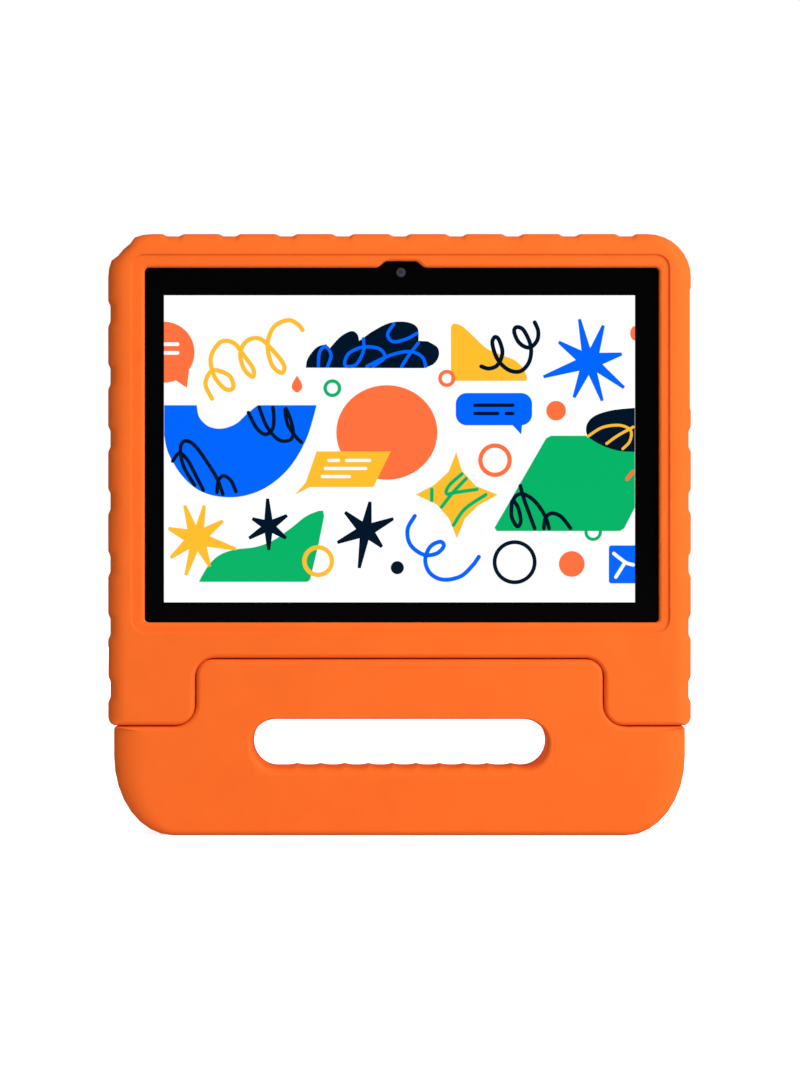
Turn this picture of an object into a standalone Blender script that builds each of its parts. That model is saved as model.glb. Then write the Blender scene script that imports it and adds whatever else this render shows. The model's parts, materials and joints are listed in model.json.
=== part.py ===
"""Kids' tablet in a moulded foam case with a folding foam carry handle.

The tablet stands upright: X runs to the viewer's right, -Y is the screen side and +Z is up.
The origin is on the surface that the handle stands on, under the middle of the case.
All lengths are in metres. Outlines are lists of (u, v) points in the plane across an extrusion.
"""

import math

import bmesh
import bpy
from mathutils import Matrix, Vector

MM = 0.001
GAP = 0.3 * MM  # between pieces that touch on the real object
PAST_FACE = 2.0 * MM  # how far a cutter runs past the face that it opens
ARC_STEPS = 8
ROUND_SIDES = 24

# Foam case
CASE_HALF_WIDTH = 134.0 * MM
CASE_HALF_DEPTH = 12.5 * MM
CASE_TOP = 276.0 * MM
FRONT_OUT = -CASE_HALF_DEPTH - PAST_FACE
BACK_OUT = CASE_HALF_DEPTH + PAST_FACE
CASE_CORNER = 20.0 * MM
CASE_EDGE = 7.0 * MM
SHOULDER_BOTTOM = 50.4 * MM
SHOULDER_CORNER = 4.0 * MM

# Carry handle, whose tongue stands between the case's shoulders
HANDLE_HALF_WIDTH = 131.3 * MM
HANDLE_CORNER_X = 27.6 * MM
HANDLE_CORNER_Z = 36.0 * MM
HANDLE_EDGE = 4.0 * MM
ARM_CORNER = 2.0 * MM
TONGUE_HALF_WIDTH = 93.1 * MM
TONGUE_TOP = 80.7 * MM
TONGUE_CORNER = 8.3 * MM
TONGUE_ROOT = 10.6 * MM
SEAM = 0.5 * MM
ARM_TOP = SHOULDER_BOTTOM - SEAM
SLOT_HALF_WIDTH = 67.8 * MM
SLOT_BOTTOM = 30.8 * MM
SLOT_TOP = 53.4 * MM

# Hinge: an axis along X, close to the back face, so that the folded handle clears the case
HINGE_Y = 6.0 * MM
HINGE_Z = 68.0 * MM
FOLD_ROUNDING = CASE_HALF_DEPTH - HINGE_Y
FRONT_LAYER_Y = -2.0 * MM  # behind this depth the seam's corners are cut square
RELIEF = 0.2 * MM
ROOT_ROOM_END = 110.3 * MM  # how far out the arms are cut square behind the tongue's root
PIN_RADIUS = 2.5 * MM
PIN_CHAMFER = 0.5 * MM
PIN_START = 80.0 * MM
PIN_END = 112.0 * MM
BUSH_RADIUS = 4.6 * MM
BUSH_FLANGE_RADIUS = 5.2 * MM
BUSH_FLANGE = 1.2 * MM
BUSH_END = 116.0 * MM
BUSH_START = TONGUE_HALF_WIDTH + SEAM + 0.4 * MM
RING_INNER = 2.8 * MM
RING_OUTER = 3.7 * MM
RING_LENGTH = 1.8 * MM
RING_SEAT_RADIUS = RING_OUTER + GAP
CORE_HALF_WIDTH = 89.0 * MM
CORE_HALF_HEIGHT = 5.8 * MM
CORE_HALF_DEPTH = 4.5 * MM
CORE_CHAMFER = 0.8 * MM
CORE_POCKETS = (-50.0 * MM, 0.0, 50.0 * MM)
CORE_POCKET_HALF_LENGTH = 20.0 * MM
CORE_POCKET_HALF_HEIGHT = 3.5 * MM
CORE_POCKET_CORNER = 1.5 * MM

# Tablet
TABLET_X = 0.45 * MM
TABLET_Z = 179.5 * MM
TABLET_HALF_WIDTH = 121.5 * MM
TABLET_HALF_HEIGHT = 85.2 * MM
TABLET_CORNER = 8.0 * MM
TABLET_FRONT = -8.9 * MM
TABLET_BACK = 0.7 * MM
COVER_WALL = 1.2 * MM
COVER_FLOOR = TABLET_BACK - COVER_WALL
FRONT_TO_COVER = (FRONT_OUT, COVER_FLOOR)
COVER_RIM = -7.9 * MM
RIGHT_SIDE = TABLET_X + TABLET_HALF_WIDTH

# Openings in the foam case
LIP_FRONT = -11.5 * MM
STEP_HALF_WIDTH = 123.05 * MM
STEP_HALF_HEIGHT = 86.4 * MM
STEP_CORNER = 6.0 * MM
VIEW_X = 1.05 * MM
VIEW_Z = 178.8 * MM
VIEW_HALF_WIDTH = 117.85 * MM
VIEW_HALF_HEIGHT = 81.3 * MM
VIEW_CORNER = 2.0 * MM
CAMERA_X = 0.7 * MM
CAMERA_Z = 258.0 * MM
CAMERA_NOTCH_FOOT = 10.6 * MM
CAMERA_NOTCH_HEAD = 7.2 * MM
CAMERA_NOTCH_TOP = 263.1 * MM
WINDOW_FRONT = -8.0 * MM
WINDOW_BACK = 4.0 * MM
WINDOW_BOTTOM = 195.5 * MM
WINDOW_TOP = 250.5 * MM
WINDOW_CORNER = 1.0 * MM
BACK_PANEL_Y = 9.5 * MM
BACK_PANEL_HALF_WIDTH = 104.0 * MM
BACK_PANEL_BOTTOM = 118.0 * MM
BACK_PANEL_TOP = 228.0 * MM
BACK_PANEL_CORNER = 12.0 * MM
BACK_CAMERA_X = -104.0 * MM
BACK_CAMERA_Z = 247.0 * MM
BACK_CAMERA_HALF_HOLE = 7.0 * MM
BACK_CAMERA_CORNER = 1.5 * MM
SPEAKER_X = 68.0 * MM
SPEAKER_Z = 103.5 * MM
SPEAKER_SLOTS = (-2, -1, 0, 1, 2)
SPEAKER_SLOT_PITCH = 5.6 * MM
SPEAKER_SLOT_HALF_WIDTH = 1.6 * MM
SPEAKER_SLOT_HALF_HEIGHT = 5.0 * MM

# Screen stack, front to back
GLASS = (TABLET_FRONT, -8.1 * MM)
ADHESIVE = (-8.0 * MM, -7.8 * MM)
CHASSIS = (-7.7 * MM, -6.5 * MM)
PANEL = (-7.6 * MM, -6.1 * MM)
LIGHT_GUIDE = (-5.9 * MM, -4.7 * MM)
TRAY = (-4.5 * MM, -4.1 * MM)
PANEL_Z = 177.1 * MM
PANEL_HALF_WIDTH = 111.3 * MM
PANEL_HALF_HEIGHT = 73.5 * MM
INNER_HALF_WIDTH = TABLET_HALF_WIDTH - COVER_WALL - GAP
INNER_HALF_HEIGHT = TABLET_HALF_HEIGHT - COVER_WALL - GAP
INNER_CORNER = TABLET_CORNER - COVER_WALL - GAP
ADHESIVE_MARGIN = 1.0 * MM
CHASSIS_MARGIN = 0.7 * MM
LIGHT_GUIDE_INSET = 0.5 * MM
CAMERA_TUNNEL = 3.4 * MM
TRAY_CORNER = 3.0 * MM
TRAY_WINDOWS = (-70.0 * MM, 0.0, 70.0 * MM)
TRAY_WINDOW_HALF_WIDTH = 28.0 * MM
TRAY_WINDOW_HALF_HEIGHT = 48.0 * MM
TRAY_WINDOW_CORNER = 6.0 * MM
RIBBON_SPAN = (90.0 * MM, 106.0 * MM)
RIBBON_FRONT = -5.9 * MM
RIBBON_BACK = -2.35 * MM
RIBBON_BOTTOM = 103.1 * MM
RIBBON_TOP = 116.0 * MM
RIBBON_THICKNESS = 0.25 * MM
RIBBON_BEND = 0.6 * MM

# Electronics behind the screen
CELLS = (-3.8 * MM, -0.8 * MM)
CELL_BOTTOM = 112.0 * MM
CELL_TOP = 214.0 * MM
CELL_SPANS = {"left": (-110.0 * MM, -16.5 * MM), "right": (-13.5 * MM, 80.0 * MM)}
BOARD = (-1.9 * MM, -0.9 * MM)
BOARD_LEFT = 84.3 * MM
BOARD_RIGHT = 119.0 * MM
BOARD_BOTTOM = 98.0 * MM
BOARD_TOP = 258.0 * MM
CHIP_BACK = BOARD[0] - GAP
BOARD_CORNER = 4.0 * MM
SCREW_PLACES = (
    (88.0 * MM, 118.0 * MM),
    (113.0 * MM, 118.0 * MM),
    (88.0 * MM, 252.0 * MM),
    (110.0 * MM, 252.0 * MM),
)
SCREW_HEAD_RADIUS = 1.9 * MM
SCREW_SHANK_RADIUS = 0.8 * MM
SCREW_HEAD_HEIGHT = 0.7 * MM
SCREW_TIP = 0.1 * MM
LEAD_RADIUS = 0.5 * MM
LEAD_POINTS = 9
LEAD_START_Y = -2.2 * MM
LEAD_END_X = 86.4 * MM
LEAD_END_Y = -2.9 * MM
RED_LEAD_Z = 192.0 * MM
BLACK_LEAD_Z = 189.0 * MM
SHIELD_WALL = 0.3 * MM
SHIELD_FRONT = -3.7 * MM
ANTENNA = ((-60.0 * MM, -20.0 * MM), (-1.2 * MM, -0.9 * MM), (252.0 * MM, 260.0 * MM))

# Blocks on the board: x and z of the middle, half width, half height, thickness
BATTERY_PLUG = (89.2 * MM, 190.5 * MM, 2.5 * MM, 4.0 * MM, 1.3 * MM)
PROCESSOR = (99.0 * MM, 160.0 * MM, 7.0 * MM, 7.0 * MM, 0.8 * MM)
MEMORY_CHIP = (103.0 * MM, 184.0 * MM, 5.8 * MM, 6.5 * MM, 1.0 * MM)
RADIO_CHIP = (99.0 * MM, 232.0 * MM, 4.0 * MM, 4.0 * MM, 0.8 * MM)
MICROPHONE = (88.0 * MM, 102.5 * MM, 1.9 * MM, 1.5 * MM, 1.0 * MM)

# Shield cans on the board: x and z of the middle, half width, half height
PROCESSOR_SHIELD = (99.0 * MM, 160.0 * MM, 11.0 * MM, 11.0 * MM)
RADIO_SHIELD = (99.0 * MM, 232.0 * MM, 8.0 * MM, 7.0 * MM)

# Speakers and cameras
SPEAKER_HALF_WIDTH = 13.5 * MM
SPEAKER_SPAN = (97.0 * MM, 110.0 * MM)
GRILLE_PITCH = 3.6 * MM
GRILLE_HALF_WIDTH = 0.7 * MM
GRILLE_HALF_HEIGHT = 3.0 * MM
GRILLE_CORNER = 0.6 * MM
FRONT_CAMERA_HALF = 3.2 * MM
FRONT_CAMERA_BASE = (-6.2 * MM, -4.6 * MM)
FRONT_BARREL = (-7.6 * MM, -6.0 * MM)
FRONT_BARREL_RADIUS = 2.9 * MM
REAR_CAMERA_HALF = 4.2 * MM
REAR_CAMERA_BASE = (-3.8 * MM, -0.9 * MM)
REAR_BARREL = (-1.2 * MM, 0.0)
REAR_BARREL_RADIUS = 3.0 * MM
REAR_LENS = (0.2 * MM, 0.6 * MM)
REAR_LENS_RADIUS = 3.0 * MM
TRIM_INNER = 3.4 * MM
TRIM_OUTER = 4.6 * MM
TRIM_FRONT = -0.4 * MM

# Side keys and sockets
KEY_Y = -4.25 * MM
KEY_HALF_DEPTH = 1.2 * MM
KEY_FACE = RIGHT_SIDE + 0.75 * MM
KEY_CORNER = 0.9 * MM
KEY_SLOT_CORNER = 1.0 * MM
KEY_FLANGE = (119.7 * MM, 120.3 * MM)
KEY_CAP_START = 119.8 * MM
KEY_FLANGE_DEPTH_MARGIN = 0.7 * MM
KEY_FLANGE_LENGTH_MARGIN = 0.9 * MM
POWER_Z = 245.0 * MM
POWER_HALF_LENGTH = 4.2 * MM
ROCKER_Z = 228.0 * MM
ROCKER_HALF_LENGTH = 8.7 * MM
ROCKER_PIVOT_X = 119.9 * MM
SWITCH_OFFSET = 6.0 * MM
SWITCH = (115.9 * MM, 118.6 * MM)
SWITCH_HALF_DEPTH = 1.35 * MM
SWITCH_HALF_HEIGHT = 2.4 * MM
PLUNGER = (118.0 * MM, 119.15 * MM)
PLUNGER_RADIUS = 0.7 * MM
KEY_STRIP = (115.0 * MM, 115.6 * MM)
KEY_STRIP_HALF_DEPTH = 1.8 * MM
KEY_STRIP_SPAN = (216.5 * MM, 250.0 * MM)
USB_Y = -3.9 * MM
USB_Z = 210.5 * MM
USB_HALF_WIDTH = 4.47 * MM
USB_HALF_HEIGHT = 1.63 * MM
USB_START = 114.6 * MM
USB_END = RIGHT_SIDE - 0.05 * MM
USB_WALL = 0.35 * MM
USB_CORNER = 1.5 * MM
USB_INNER_CORNER = 1.2 * MM
USB_TONGUE = (USB_START + 0.5 * MM, USB_END - 1.5 * MM)
USB_TONGUE_HALF_DEPTH = 0.35 * MM
USB_TONGUE_HALF_WIDTH = 3.3 * MM
JACK_Y = -4.25 * MM
JACK_Z = 200.5 * MM
JACK_START = 111.8 * MM
JACK_HALF_DEPTH = 2.05 * MM
JACK_HALF_HEIGHT = 3.2 * MM
JACK_BORE = 1.8 * MM
JACK_BORE_START = 112.8 * MM
JACK_NOSE = 2.05 * MM


# ---------------------------------------------------------------- scene set-up

def clear_scene():
    for old in list(bpy.data.objects):
        bpy.data.objects.remove(old, do_unlink=True)


def new_collection(name):
    collection = bpy.data.collections.new(name)
    bpy.context.scene.collection.children.link(collection)
    return collection


clear_scene()
PARTS = new_collection("kids_tablet")
CUTTERS = new_collection("kids_tablet_cutters")


def principled(name, color, roughness, metallic=0.0):
    material = bpy.data.materials.new(name)
    material.use_nodes = True
    shader = material.node_tree.nodes["Principled BSDF"]
    shader.inputs["Base Color"].default_value = (*color, 1.0)
    shader.inputs["Roughness"].default_value = roughness
    shader.inputs["Metallic"].default_value = metallic
    material.diffuse_color = (*color, 1.0)
    return material


# ---------------------------------------------------------------- outlines

def rounded(corners, steps=ARC_STEPS):
    """Closed outline through (u, v, radius) corners, each rounded by an arc."""
    points = []
    count = len(corners)
    for index, (u, v, radius) in enumerate(corners):
        corner = Vector((u, v))
        before = (Vector(corners[index - 1][:2]) - corner).normalized()
        after = (Vector(corners[(index + 1) % count][:2]) - corner).normalized()
        if radius <= 0:
            points.append((u, v))
            continue
        half_angle = before.angle(after) / 2
        reach = radius / math.tan(half_angle)
        middle = corner + (before + after).normalized() * (radius / math.sin(half_angle))
        start = corner + before * reach - middle
        sweep = start.angle_signed(corner + after * reach - middle)
        for step in range(steps + 1):
            turn = Matrix.Rotation(-sweep * step / steps, 2)
            spot = middle + turn @ start
            points.append((spot.x, spot.y))
    return points


def rectangle(u, v, half_u, half_v, radius=0.0, steps=ARC_STEPS):
    """Outline of a rectangle about (u, v) with rounded corners."""
    corners = [
        (u - half_u, v - half_v, radius),
        (u + half_u, v - half_v, radius),
        (u + half_u, v + half_v, radius),
        (u - half_u, v + half_v, radius),
    ]
    return rounded(corners, steps)


def mirrored(right_half):
    """Corners of a symmetric outline from those at u > 0, listed bottom to top."""
    left_half = [(-u, v, radius) for u, v, radius in reversed(right_half)]
    return right_half + left_half


def handle_region(grow, outer_corners):
    """Outline round the tongue and the arms, grown by a distance, with its outer corners given."""
    root = TONGUE_ROOT - grow
    tongue = [
        (TONGUE_HALF_WIDTH + grow, ARM_TOP + grow, root),
        (TONGUE_HALF_WIDTH + grow, TONGUE_TOP + grow, TONGUE_CORNER + grow),
    ]
    return rounded(mirrored(outer_corners + tongue))


def handle_slab_outline():
    """Outline of the handle before its tongue is shaped: quarter ellipses at the bottom corners."""
    right = []
    for step in range(2 * ARC_STEPS + 1):
        angle = math.pi / 2 * step / (2 * ARC_STEPS)
        x = HANDLE_HALF_WIDTH - HANDLE_CORNER_X * (1 - math.sin(angle))
        z = HANDLE_CORNER_Z * (1 - math.cos(angle))
        right.append((x, z))
    top = TONGUE_TOP + 3 * HANDLE_EDGE
    right.append((HANDLE_HALF_WIDTH, top))
    return right + [(-x, z) for x, z in reversed(right)]


# ---------------------------------------------------------------- solids

def place(name, mesh, matrix, collection):
    thing = bpy.data.objects.new(name, mesh)
    thing.matrix_world = matrix
    collection.objects.link(thing)
    return thing


FACING = {
    "X": Matrix(((0, 0, 1), (1, 0, 0), (0, 1, 0))),
    "Y": Matrix(((1, 0, 0), (0, 0, -1), (0, 1, 0))),
    "Z": Matrix.Identity(3),
}


def extrusion(name, outlines, start, end, along="Y", collection=PARTS):
    """Solid between two planes across an axis; a second outline inside the first is a hole."""
    curve = bpy.data.curves.new(name, "CURVE")
    curve.dimensions = "2D"
    curve.fill_mode = "BOTH"
    curve.extrude = (end - start) / 2
    for outline in outlines:
        spline = curve.splines.new("POLY")
        spline.points.add(len(outline) - 1)
        for point, (u, v) in zip(spline.points, outline):
            point.co = (u, v, 0.0, 1.0)
        spline.use_cyclic_u = True
    guide = bpy.data.objects.new(name + "_guide", curve)
    shift = Vector((0, 0, 0))
    shift["XYZ".index(along)] = (start + end) / 2
    guide.matrix_world = Matrix.Translation(shift) @ FACING[along].to_4x4()
    collection.objects.link(guide)
    return mesh_from(guide, name, collection)


def mesh_from(guide, name, collection):
    """Replace a curve object by a mesh object with welded caps."""
    depsgraph = bpy.context.evaluated_depsgraph_get()
    mesh = bpy.data.meshes.new_from_object(guide.evaluated_get(depsgraph))
    shell = bmesh.new()
    shell.from_mesh(mesh)
    bmesh.ops.remove_doubles(shell, verts=shell.verts, dist=0.001 * MM)
    bmesh.ops.recalc_face_normals(shell, faces=shell.faces)
    flat = math.radians(0.5)
    bmesh.ops.dissolve_limit(shell, angle_limit=flat, verts=shell.verts, edges=shell.edges)
    shell.to_mesh(mesh)
    shell.free()
    solid = place(name, mesh, guide.matrix_world.copy(), collection)
    bpy.data.objects.remove(guide)
    return solid


def box(name, x_span, y_span, z_span, collection=PARTS):
    spans = (x_span, y_span, z_span)
    size = [high - low for low, high in spans]
    centre = Vector([(low + high) / 2 for low, high in spans])
    shell = bmesh.new()
    bmesh.ops.create_cube(shell, size=1.0)
    bmesh.ops.scale(shell, vec=size, verts=shell.verts)
    mesh = bpy.data.meshes.new(name)
    shell.to_mesh(mesh)
    shell.free()
    return place(name, mesh, Matrix.Translation(centre), collection)


def rod(name, centre, radius, start, end, along, collection=PARTS, sides=ROUND_SIDES):
    """Cylinder between two planes across an axis; centre is its place across the axis."""
    shell = bmesh.new()
    bmesh.ops.create_cone(
        shell, cap_ends=True, segments=sides, radius1=radius, radius2=radius, depth=end - start
    )
    mesh = bpy.data.meshes.new(name)
    shell.to_mesh(mesh)
    shell.free()
    spot = Vector((centre[0], centre[1], (start + end) / 2))
    if along == "Y":
        spot.z = -spot.z
    facing = FACING[along].to_4x4()
    thing = place(name, mesh, Matrix.Translation(facing @ spot) @ facing, collection)
    smooth(thing)
    return thing


def turned(name, profile, centre, along, steps=ROUND_SIDES):
    """Solid of revolution: (radius, distance) points run from the top of the profile to its foot."""
    mesh = bpy.data.meshes.new(name)
    points = [(radius, 0.0, distance) for radius, distance in profile]
    mesh.from_pydata(points, [(i, i + 1) for i in range(len(points) - 1)], [])
    spot = Vector((centre[0], centre[1], 0.0))
    facing = FACING[along].to_4x4()
    thing = place(name, mesh, Matrix.Translation(facing @ spot) @ facing, PARTS)
    screw = thing.modifiers.new("turn", "SCREW")
    screw.steps = steps
    screw.render_steps = steps
    screw.use_merge_vertices = True
    screw.merge_threshold = 0.001 * MM
    smooth(thing)
    return thing


def smooth(thing, angle=35.0):
    thing.data.shade_smooth()
    thing.data.set_sharp_from_angle(angle=math.radians(angle))


def soften(thing, width, segments=2):
    """Round the edges that turn by more than 60 degrees."""
    bevel = thing.modifiers.new("soften", "BEVEL")
    bevel.width = width
    bevel.segments = segments
    bevel.use_clamp_overlap = False
    bevel.limit_method = "ANGLE"
    bevel.angle_limit = math.radians(60)


def combine(target, tool, operation):
    step = target.modifiers.new(f"{operation.lower()} {tool.name}", "BOOLEAN")
    step.operation = operation
    step.object = tool
    step.solver = "EXACT"
    tool.display_type = "WIRE"
    tool.hide_render = True


def cut(target, *tools):
    for tool in tools:
        combine(target, tool, "DIFFERENCE")


def join(target, *tools):
    for tool in tools:
        combine(target, tool, "UNION")


def tool_extrusion(name, outlines, start, end, along="Y"):
    return extrusion("cut_" + name, outlines, start, end, along, CUTTERS)


def tool_box(name, x_span, y_span, z_span):
    return box("cut_" + name, x_span, y_span, z_span, CUTTERS)


def tool_rod(name, centre, radius, start, end, along):
    return rod("cut_" + name, centre, radius, start, end, along, CUTTERS)


def about(centre, half):
    return (centre - half, centre + half)


# ---------------------------------------------------------------- foam case

def handle_space():
    """All that lies below the case's shoulders and round the tongue."""
    far = CASE_HALF_WIDTH + 2 * SHOULDER_CORNER
    side = CASE_HALF_WIDTH + 0.05 * MM
    corner_top = SHOULDER_BOTTOM + SHOULDER_CORNER + 0.2 * MM
    outer = [
        (far, -PAST_FACE, 0),
        (far, corner_top, 0),
        (side, corner_top, 0),
        (side, SHOULDER_BOTTOM, SHOULDER_CORNER),
    ]
    return tool_extrusion("handle_space", [handle_region(SEAM, outer)], FRONT_OUT, BACK_OUT)


def tongue_swing():
    """Square-cornered room behind the front layer, for the turning tongue."""
    half_width = TONGUE_HALF_WIDTH + SEAM + RELIEF
    top = TONGUE_TOP + SEAM + RELIEF
    return tool_box(
        "tongue_swing", about(0, half_width), (FRONT_LAYER_Y, BACK_OUT), (SHOULDER_BOTTOM - MM, top)
    )


def quarter_round(name, edge_z, inward, x_span):
    """Cutter that rounds an edge of the back face along X; inward is +1 where material is above."""
    centre_z = edge_z + inward * FOLD_ROUNDING
    arc = []
    for step in range(ARC_STEPS + 1):
        angle = math.pi / 2 * step / ARC_STEPS
        y = HINGE_Y + FOLD_ROUNDING * math.cos(angle)
        z = centre_z - inward * FOLD_ROUNDING * math.sin(angle)
        arc.append((y, z))
    outside = edge_z - inward * MM
    outline = arc + [(HINGE_Y, outside), (BACK_OUT, outside), (BACK_OUT, centre_z)]
    return tool_extrusion(name, [outline], x_span[0], x_span[1], along="X")


def view_opening():
    """Opening of the lip, with a notch for the front camera in its top edge."""
    right = [
        (VIEW_X + VIEW_HALF_WIDTH, VIEW_Z - VIEW_HALF_HEIGHT, VIEW_CORNER),
        (VIEW_X + VIEW_HALF_WIDTH, VIEW_Z + VIEW_HALF_HEIGHT, VIEW_CORNER),
        (CAMERA_X + CAMERA_NOTCH_FOOT, VIEW_Z + VIEW_HALF_HEIGHT, MM),
        (CAMERA_X + CAMERA_NOTCH_HEAD, CAMERA_NOTCH_TOP, MM),
    ]
    left = [
        (CAMERA_X - CAMERA_NOTCH_HEAD, CAMERA_NOTCH_TOP, MM),
        (CAMERA_X - CAMERA_NOTCH_FOOT, VIEW_Z + VIEW_HALF_HEIGHT, MM),
        (VIEW_X - VIEW_HALF_WIDTH, VIEW_Z + VIEW_HALF_HEIGHT, VIEW_CORNER),
        (VIEW_X - VIEW_HALF_WIDTH, VIEW_Z - VIEW_HALF_HEIGHT, VIEW_CORNER),
    ]
    outline = rounded(right + left, steps=4)
    return tool_extrusion("view", [outline], FRONT_OUT, TABLET_FRONT)


def tablet_pocket():
    outline = rectangle(
        TABLET_X, TABLET_Z, TABLET_HALF_WIDTH + GAP, TABLET_HALF_HEIGHT + GAP, TABLET_CORNER + GAP
    )
    return tool_extrusion("tablet", [outline], TABLET_FRONT - GAP, TABLET_BACK + GAP)


def lip_step():
    outline = rectangle(TABLET_X, TABLET_Z, STEP_HALF_WIDTH, STEP_HALF_HEIGHT, STEP_CORNER)
    return tool_extrusion("lip_step", [outline], FRONT_OUT, LIP_FRONT)


def side_window():
    y = (WINDOW_FRONT + WINDOW_BACK) / 2
    z = (WINDOW_BOTTOM + WINDOW_TOP) / 2
    half_y = (WINDOW_BACK - WINDOW_FRONT) / 2
    half_z = (WINDOW_TOP - WINDOW_BOTTOM) / 2
    outline = rectangle(y, z, half_y, half_z, WINDOW_CORNER, steps=4)
    return tool_extrusion(
        "side_window", [outline], RIGHT_SIDE - MM, CASE_HALF_WIDTH + PAST_FACE, along="X"
    )


def back_panel():
    z = (BACK_PANEL_BOTTOM + BACK_PANEL_TOP) / 2
    half_height = (BACK_PANEL_TOP - BACK_PANEL_BOTTOM) / 2
    outline = rectangle(0, z, BACK_PANEL_HALF_WIDTH, half_height, BACK_PANEL_CORNER)
    return tool_extrusion("back_panel", [outline], BACK_PANEL_Y, BACK_OUT)


def back_camera_hole():
    half = BACK_CAMERA_HALF_HOLE
    outline = rectangle(BACK_CAMERA_X, BACK_CAMERA_Z, half, half, BACK_CAMERA_CORNER, steps=4)
    return tool_extrusion("back_camera_hole", [outline], TABLET_BACK, BACK_OUT)


def speaker_openings():
    """Five narrow slots behind each speaker."""
    half_width = SPEAKER_SLOT_HALF_WIDTH
    outlines = []
    for centre in (-SPEAKER_X, SPEAKER_X):
        for index in SPEAKER_SLOTS:
            x = centre + index * SPEAKER_SLOT_PITCH
            radius = half_width - 0.01 * MM
            outlines.append(
                rectangle(x, SPEAKER_Z, half_width, SPEAKER_SLOT_HALF_HEIGHT, radius, steps=4)
            )
    return tool_extrusion("speaker_openings", outlines, TABLET_BACK, BACK_OUT)


def bush_seats():
    tools = []
    for side, name in ((-1, "left"), (1, "right")):
        mouth = (TONGUE_HALF_WIDTH + SEAM - MM, BUSH_START + BUSH_FLANGE + GAP)
        barrel = (TONGUE_HALF_WIDTH + SEAM, BUSH_END + GAP)
        for label, radius, span in (
            ("bush_mouth", BUSH_FLANGE_RADIUS + GAP, mouth),
            ("bush_barrel", BUSH_RADIUS + GAP, barrel),
        ):
            low, high = sorted(side * x for x in span)
            tools.append(
                tool_rod(f"{label}_{name}", (HINGE_Y, HINGE_Z), radius, low, high, "X")
            )
    return tools


def foam_case(material):
    middle = (CASE_TOP + ARM_TOP / 2) / 2
    outline = rectangle(0, middle, CASE_HALF_WIDTH, CASE_TOP - middle, CASE_CORNER)
    case = extrusion("foam_case", [outline], -CASE_HALF_DEPTH, CASE_HALF_DEPTH)
    soften(case, CASE_EDGE, segments=4)
    cut(case, handle_space(), tongue_swing())
    for side in (-1, 1):
        span = sorted((side * (TONGUE_HALF_WIDTH - MM), side * (CASE_HALF_WIDTH + MM)))
        cut(case, quarter_round(f"shoulder_round_{side}", SHOULDER_BOTTOM, 1, span))
    cut(case, lip_step(), view_opening(), tablet_pocket(), side_window())
    cut(case, back_panel(), back_camera_hole(), speaker_openings())
    cut(case, *bush_seats())
    smooth(case)
    case.data.materials.append(material)
    return case


# ---------------------------------------------------------------- handle and hinge

def handle_foam(material):
    slot_z = (SLOT_BOTTOM + SLOT_TOP) / 2
    slot_half = (SLOT_TOP - SLOT_BOTTOM) / 2
    slot = rectangle(0, slot_z, SLOT_HALF_WIDTH, slot_half, slot_half - 0.01 * MM)
    handle = extrusion(
        "handle_foam", [handle_slab_outline()], -CASE_HALF_DEPTH, CASE_HALF_DEPTH
    )
    cut(handle, tool_extrusion("slot", [slot], FRONT_OUT, BACK_OUT))
    soften(handle, HANDLE_EDGE, segments=3)
    side = HANDLE_HALF_WIDTH + 0.05 * MM
    outer = [(side, -PAST_FACE, 0), (side, ARM_TOP, ARM_CORNER)]
    region = tool_extrusion("handle_region", [handle_region(0, outer)], FRONT_OUT, BACK_OUT)
    combine(handle, region, "INTERSECT")
    tongue = about(0, TONGUE_HALF_WIDTH + MM)
    cut(handle, quarter_round("tongue_round", TONGUE_TOP, -1, tongue))
    for side in (-1, 1):
        root = sorted((side * (TONGUE_HALF_WIDTH - RELIEF), side * ROOT_ROOM_END))
        top = ARM_TOP + TONGUE_ROOT + 2 * MM
        cut(
            handle,
            tool_box(f"root_{side}", root, (FRONT_LAYER_Y, BACK_OUT), (ARM_TOP - RELIEF, top)),
        )
    cut(handle, core_space(), pin_passage())
    smooth(handle)
    handle.data.materials.append(material)
    return handle


def core_space():
    return tool_box(
        "core",
        about(0, CORE_HALF_WIDTH + GAP),
        about(HINGE_Y, CORE_HALF_DEPTH + GAP),
        about(HINGE_Z, CORE_HALF_HEIGHT + GAP),
    )


def pin_passage():
    return tool_rod(
        "pin_passage", (HINGE_Y, HINGE_Z), PIN_RADIUS + GAP, *about(0, TONGUE_HALF_WIDTH + MM), "X"
    )


def handle_core(material):
    core = box(
        "handle_core",
        about(0, CORE_HALF_WIDTH),
        about(HINGE_Y, CORE_HALF_DEPTH),
        about(HINGE_Z, CORE_HALF_HEIGHT),
    )
    soften(core, CORE_CHAMFER, segments=1)
    for side, name in ((-1, "left"), (1, "right")):
        span = sorted((side * (PIN_START - GAP), side * (CORE_HALF_WIDTH + MM)))
        cut(
            core,
            tool_rod(f"core_bore_{name}", (HINGE_Y, HINGE_Z), PIN_RADIUS + GAP, *span, "X"),
        )
    pockets = [
        rectangle(
            x,
            HINGE_Z,
            CORE_POCKET_HALF_LENGTH,
            CORE_POCKET_HALF_HEIGHT,
            CORE_POCKET_CORNER,
            steps=3,
        )
        for x in CORE_POCKETS
    ]
    cut(core, tool_extrusion("core_pockets", pockets, HINGE_Y - MM, BACK_OUT))
    core.data.materials.append(material)
    return core


def hinge_pin(name, side, material):
    profile = [
        (0.0, PIN_END),
        (PIN_RADIUS - PIN_CHAMFER, PIN_END),
        (PIN_RADIUS, PIN_END - PIN_CHAMFER),
        (PIN_RADIUS, PIN_START + PIN_CHAMFER),
        (PIN_RADIUS - PIN_CHAMFER, PIN_START),
        (0.0, PIN_START),
    ]
    return hinge_turning(name, profile, side, material)


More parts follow.
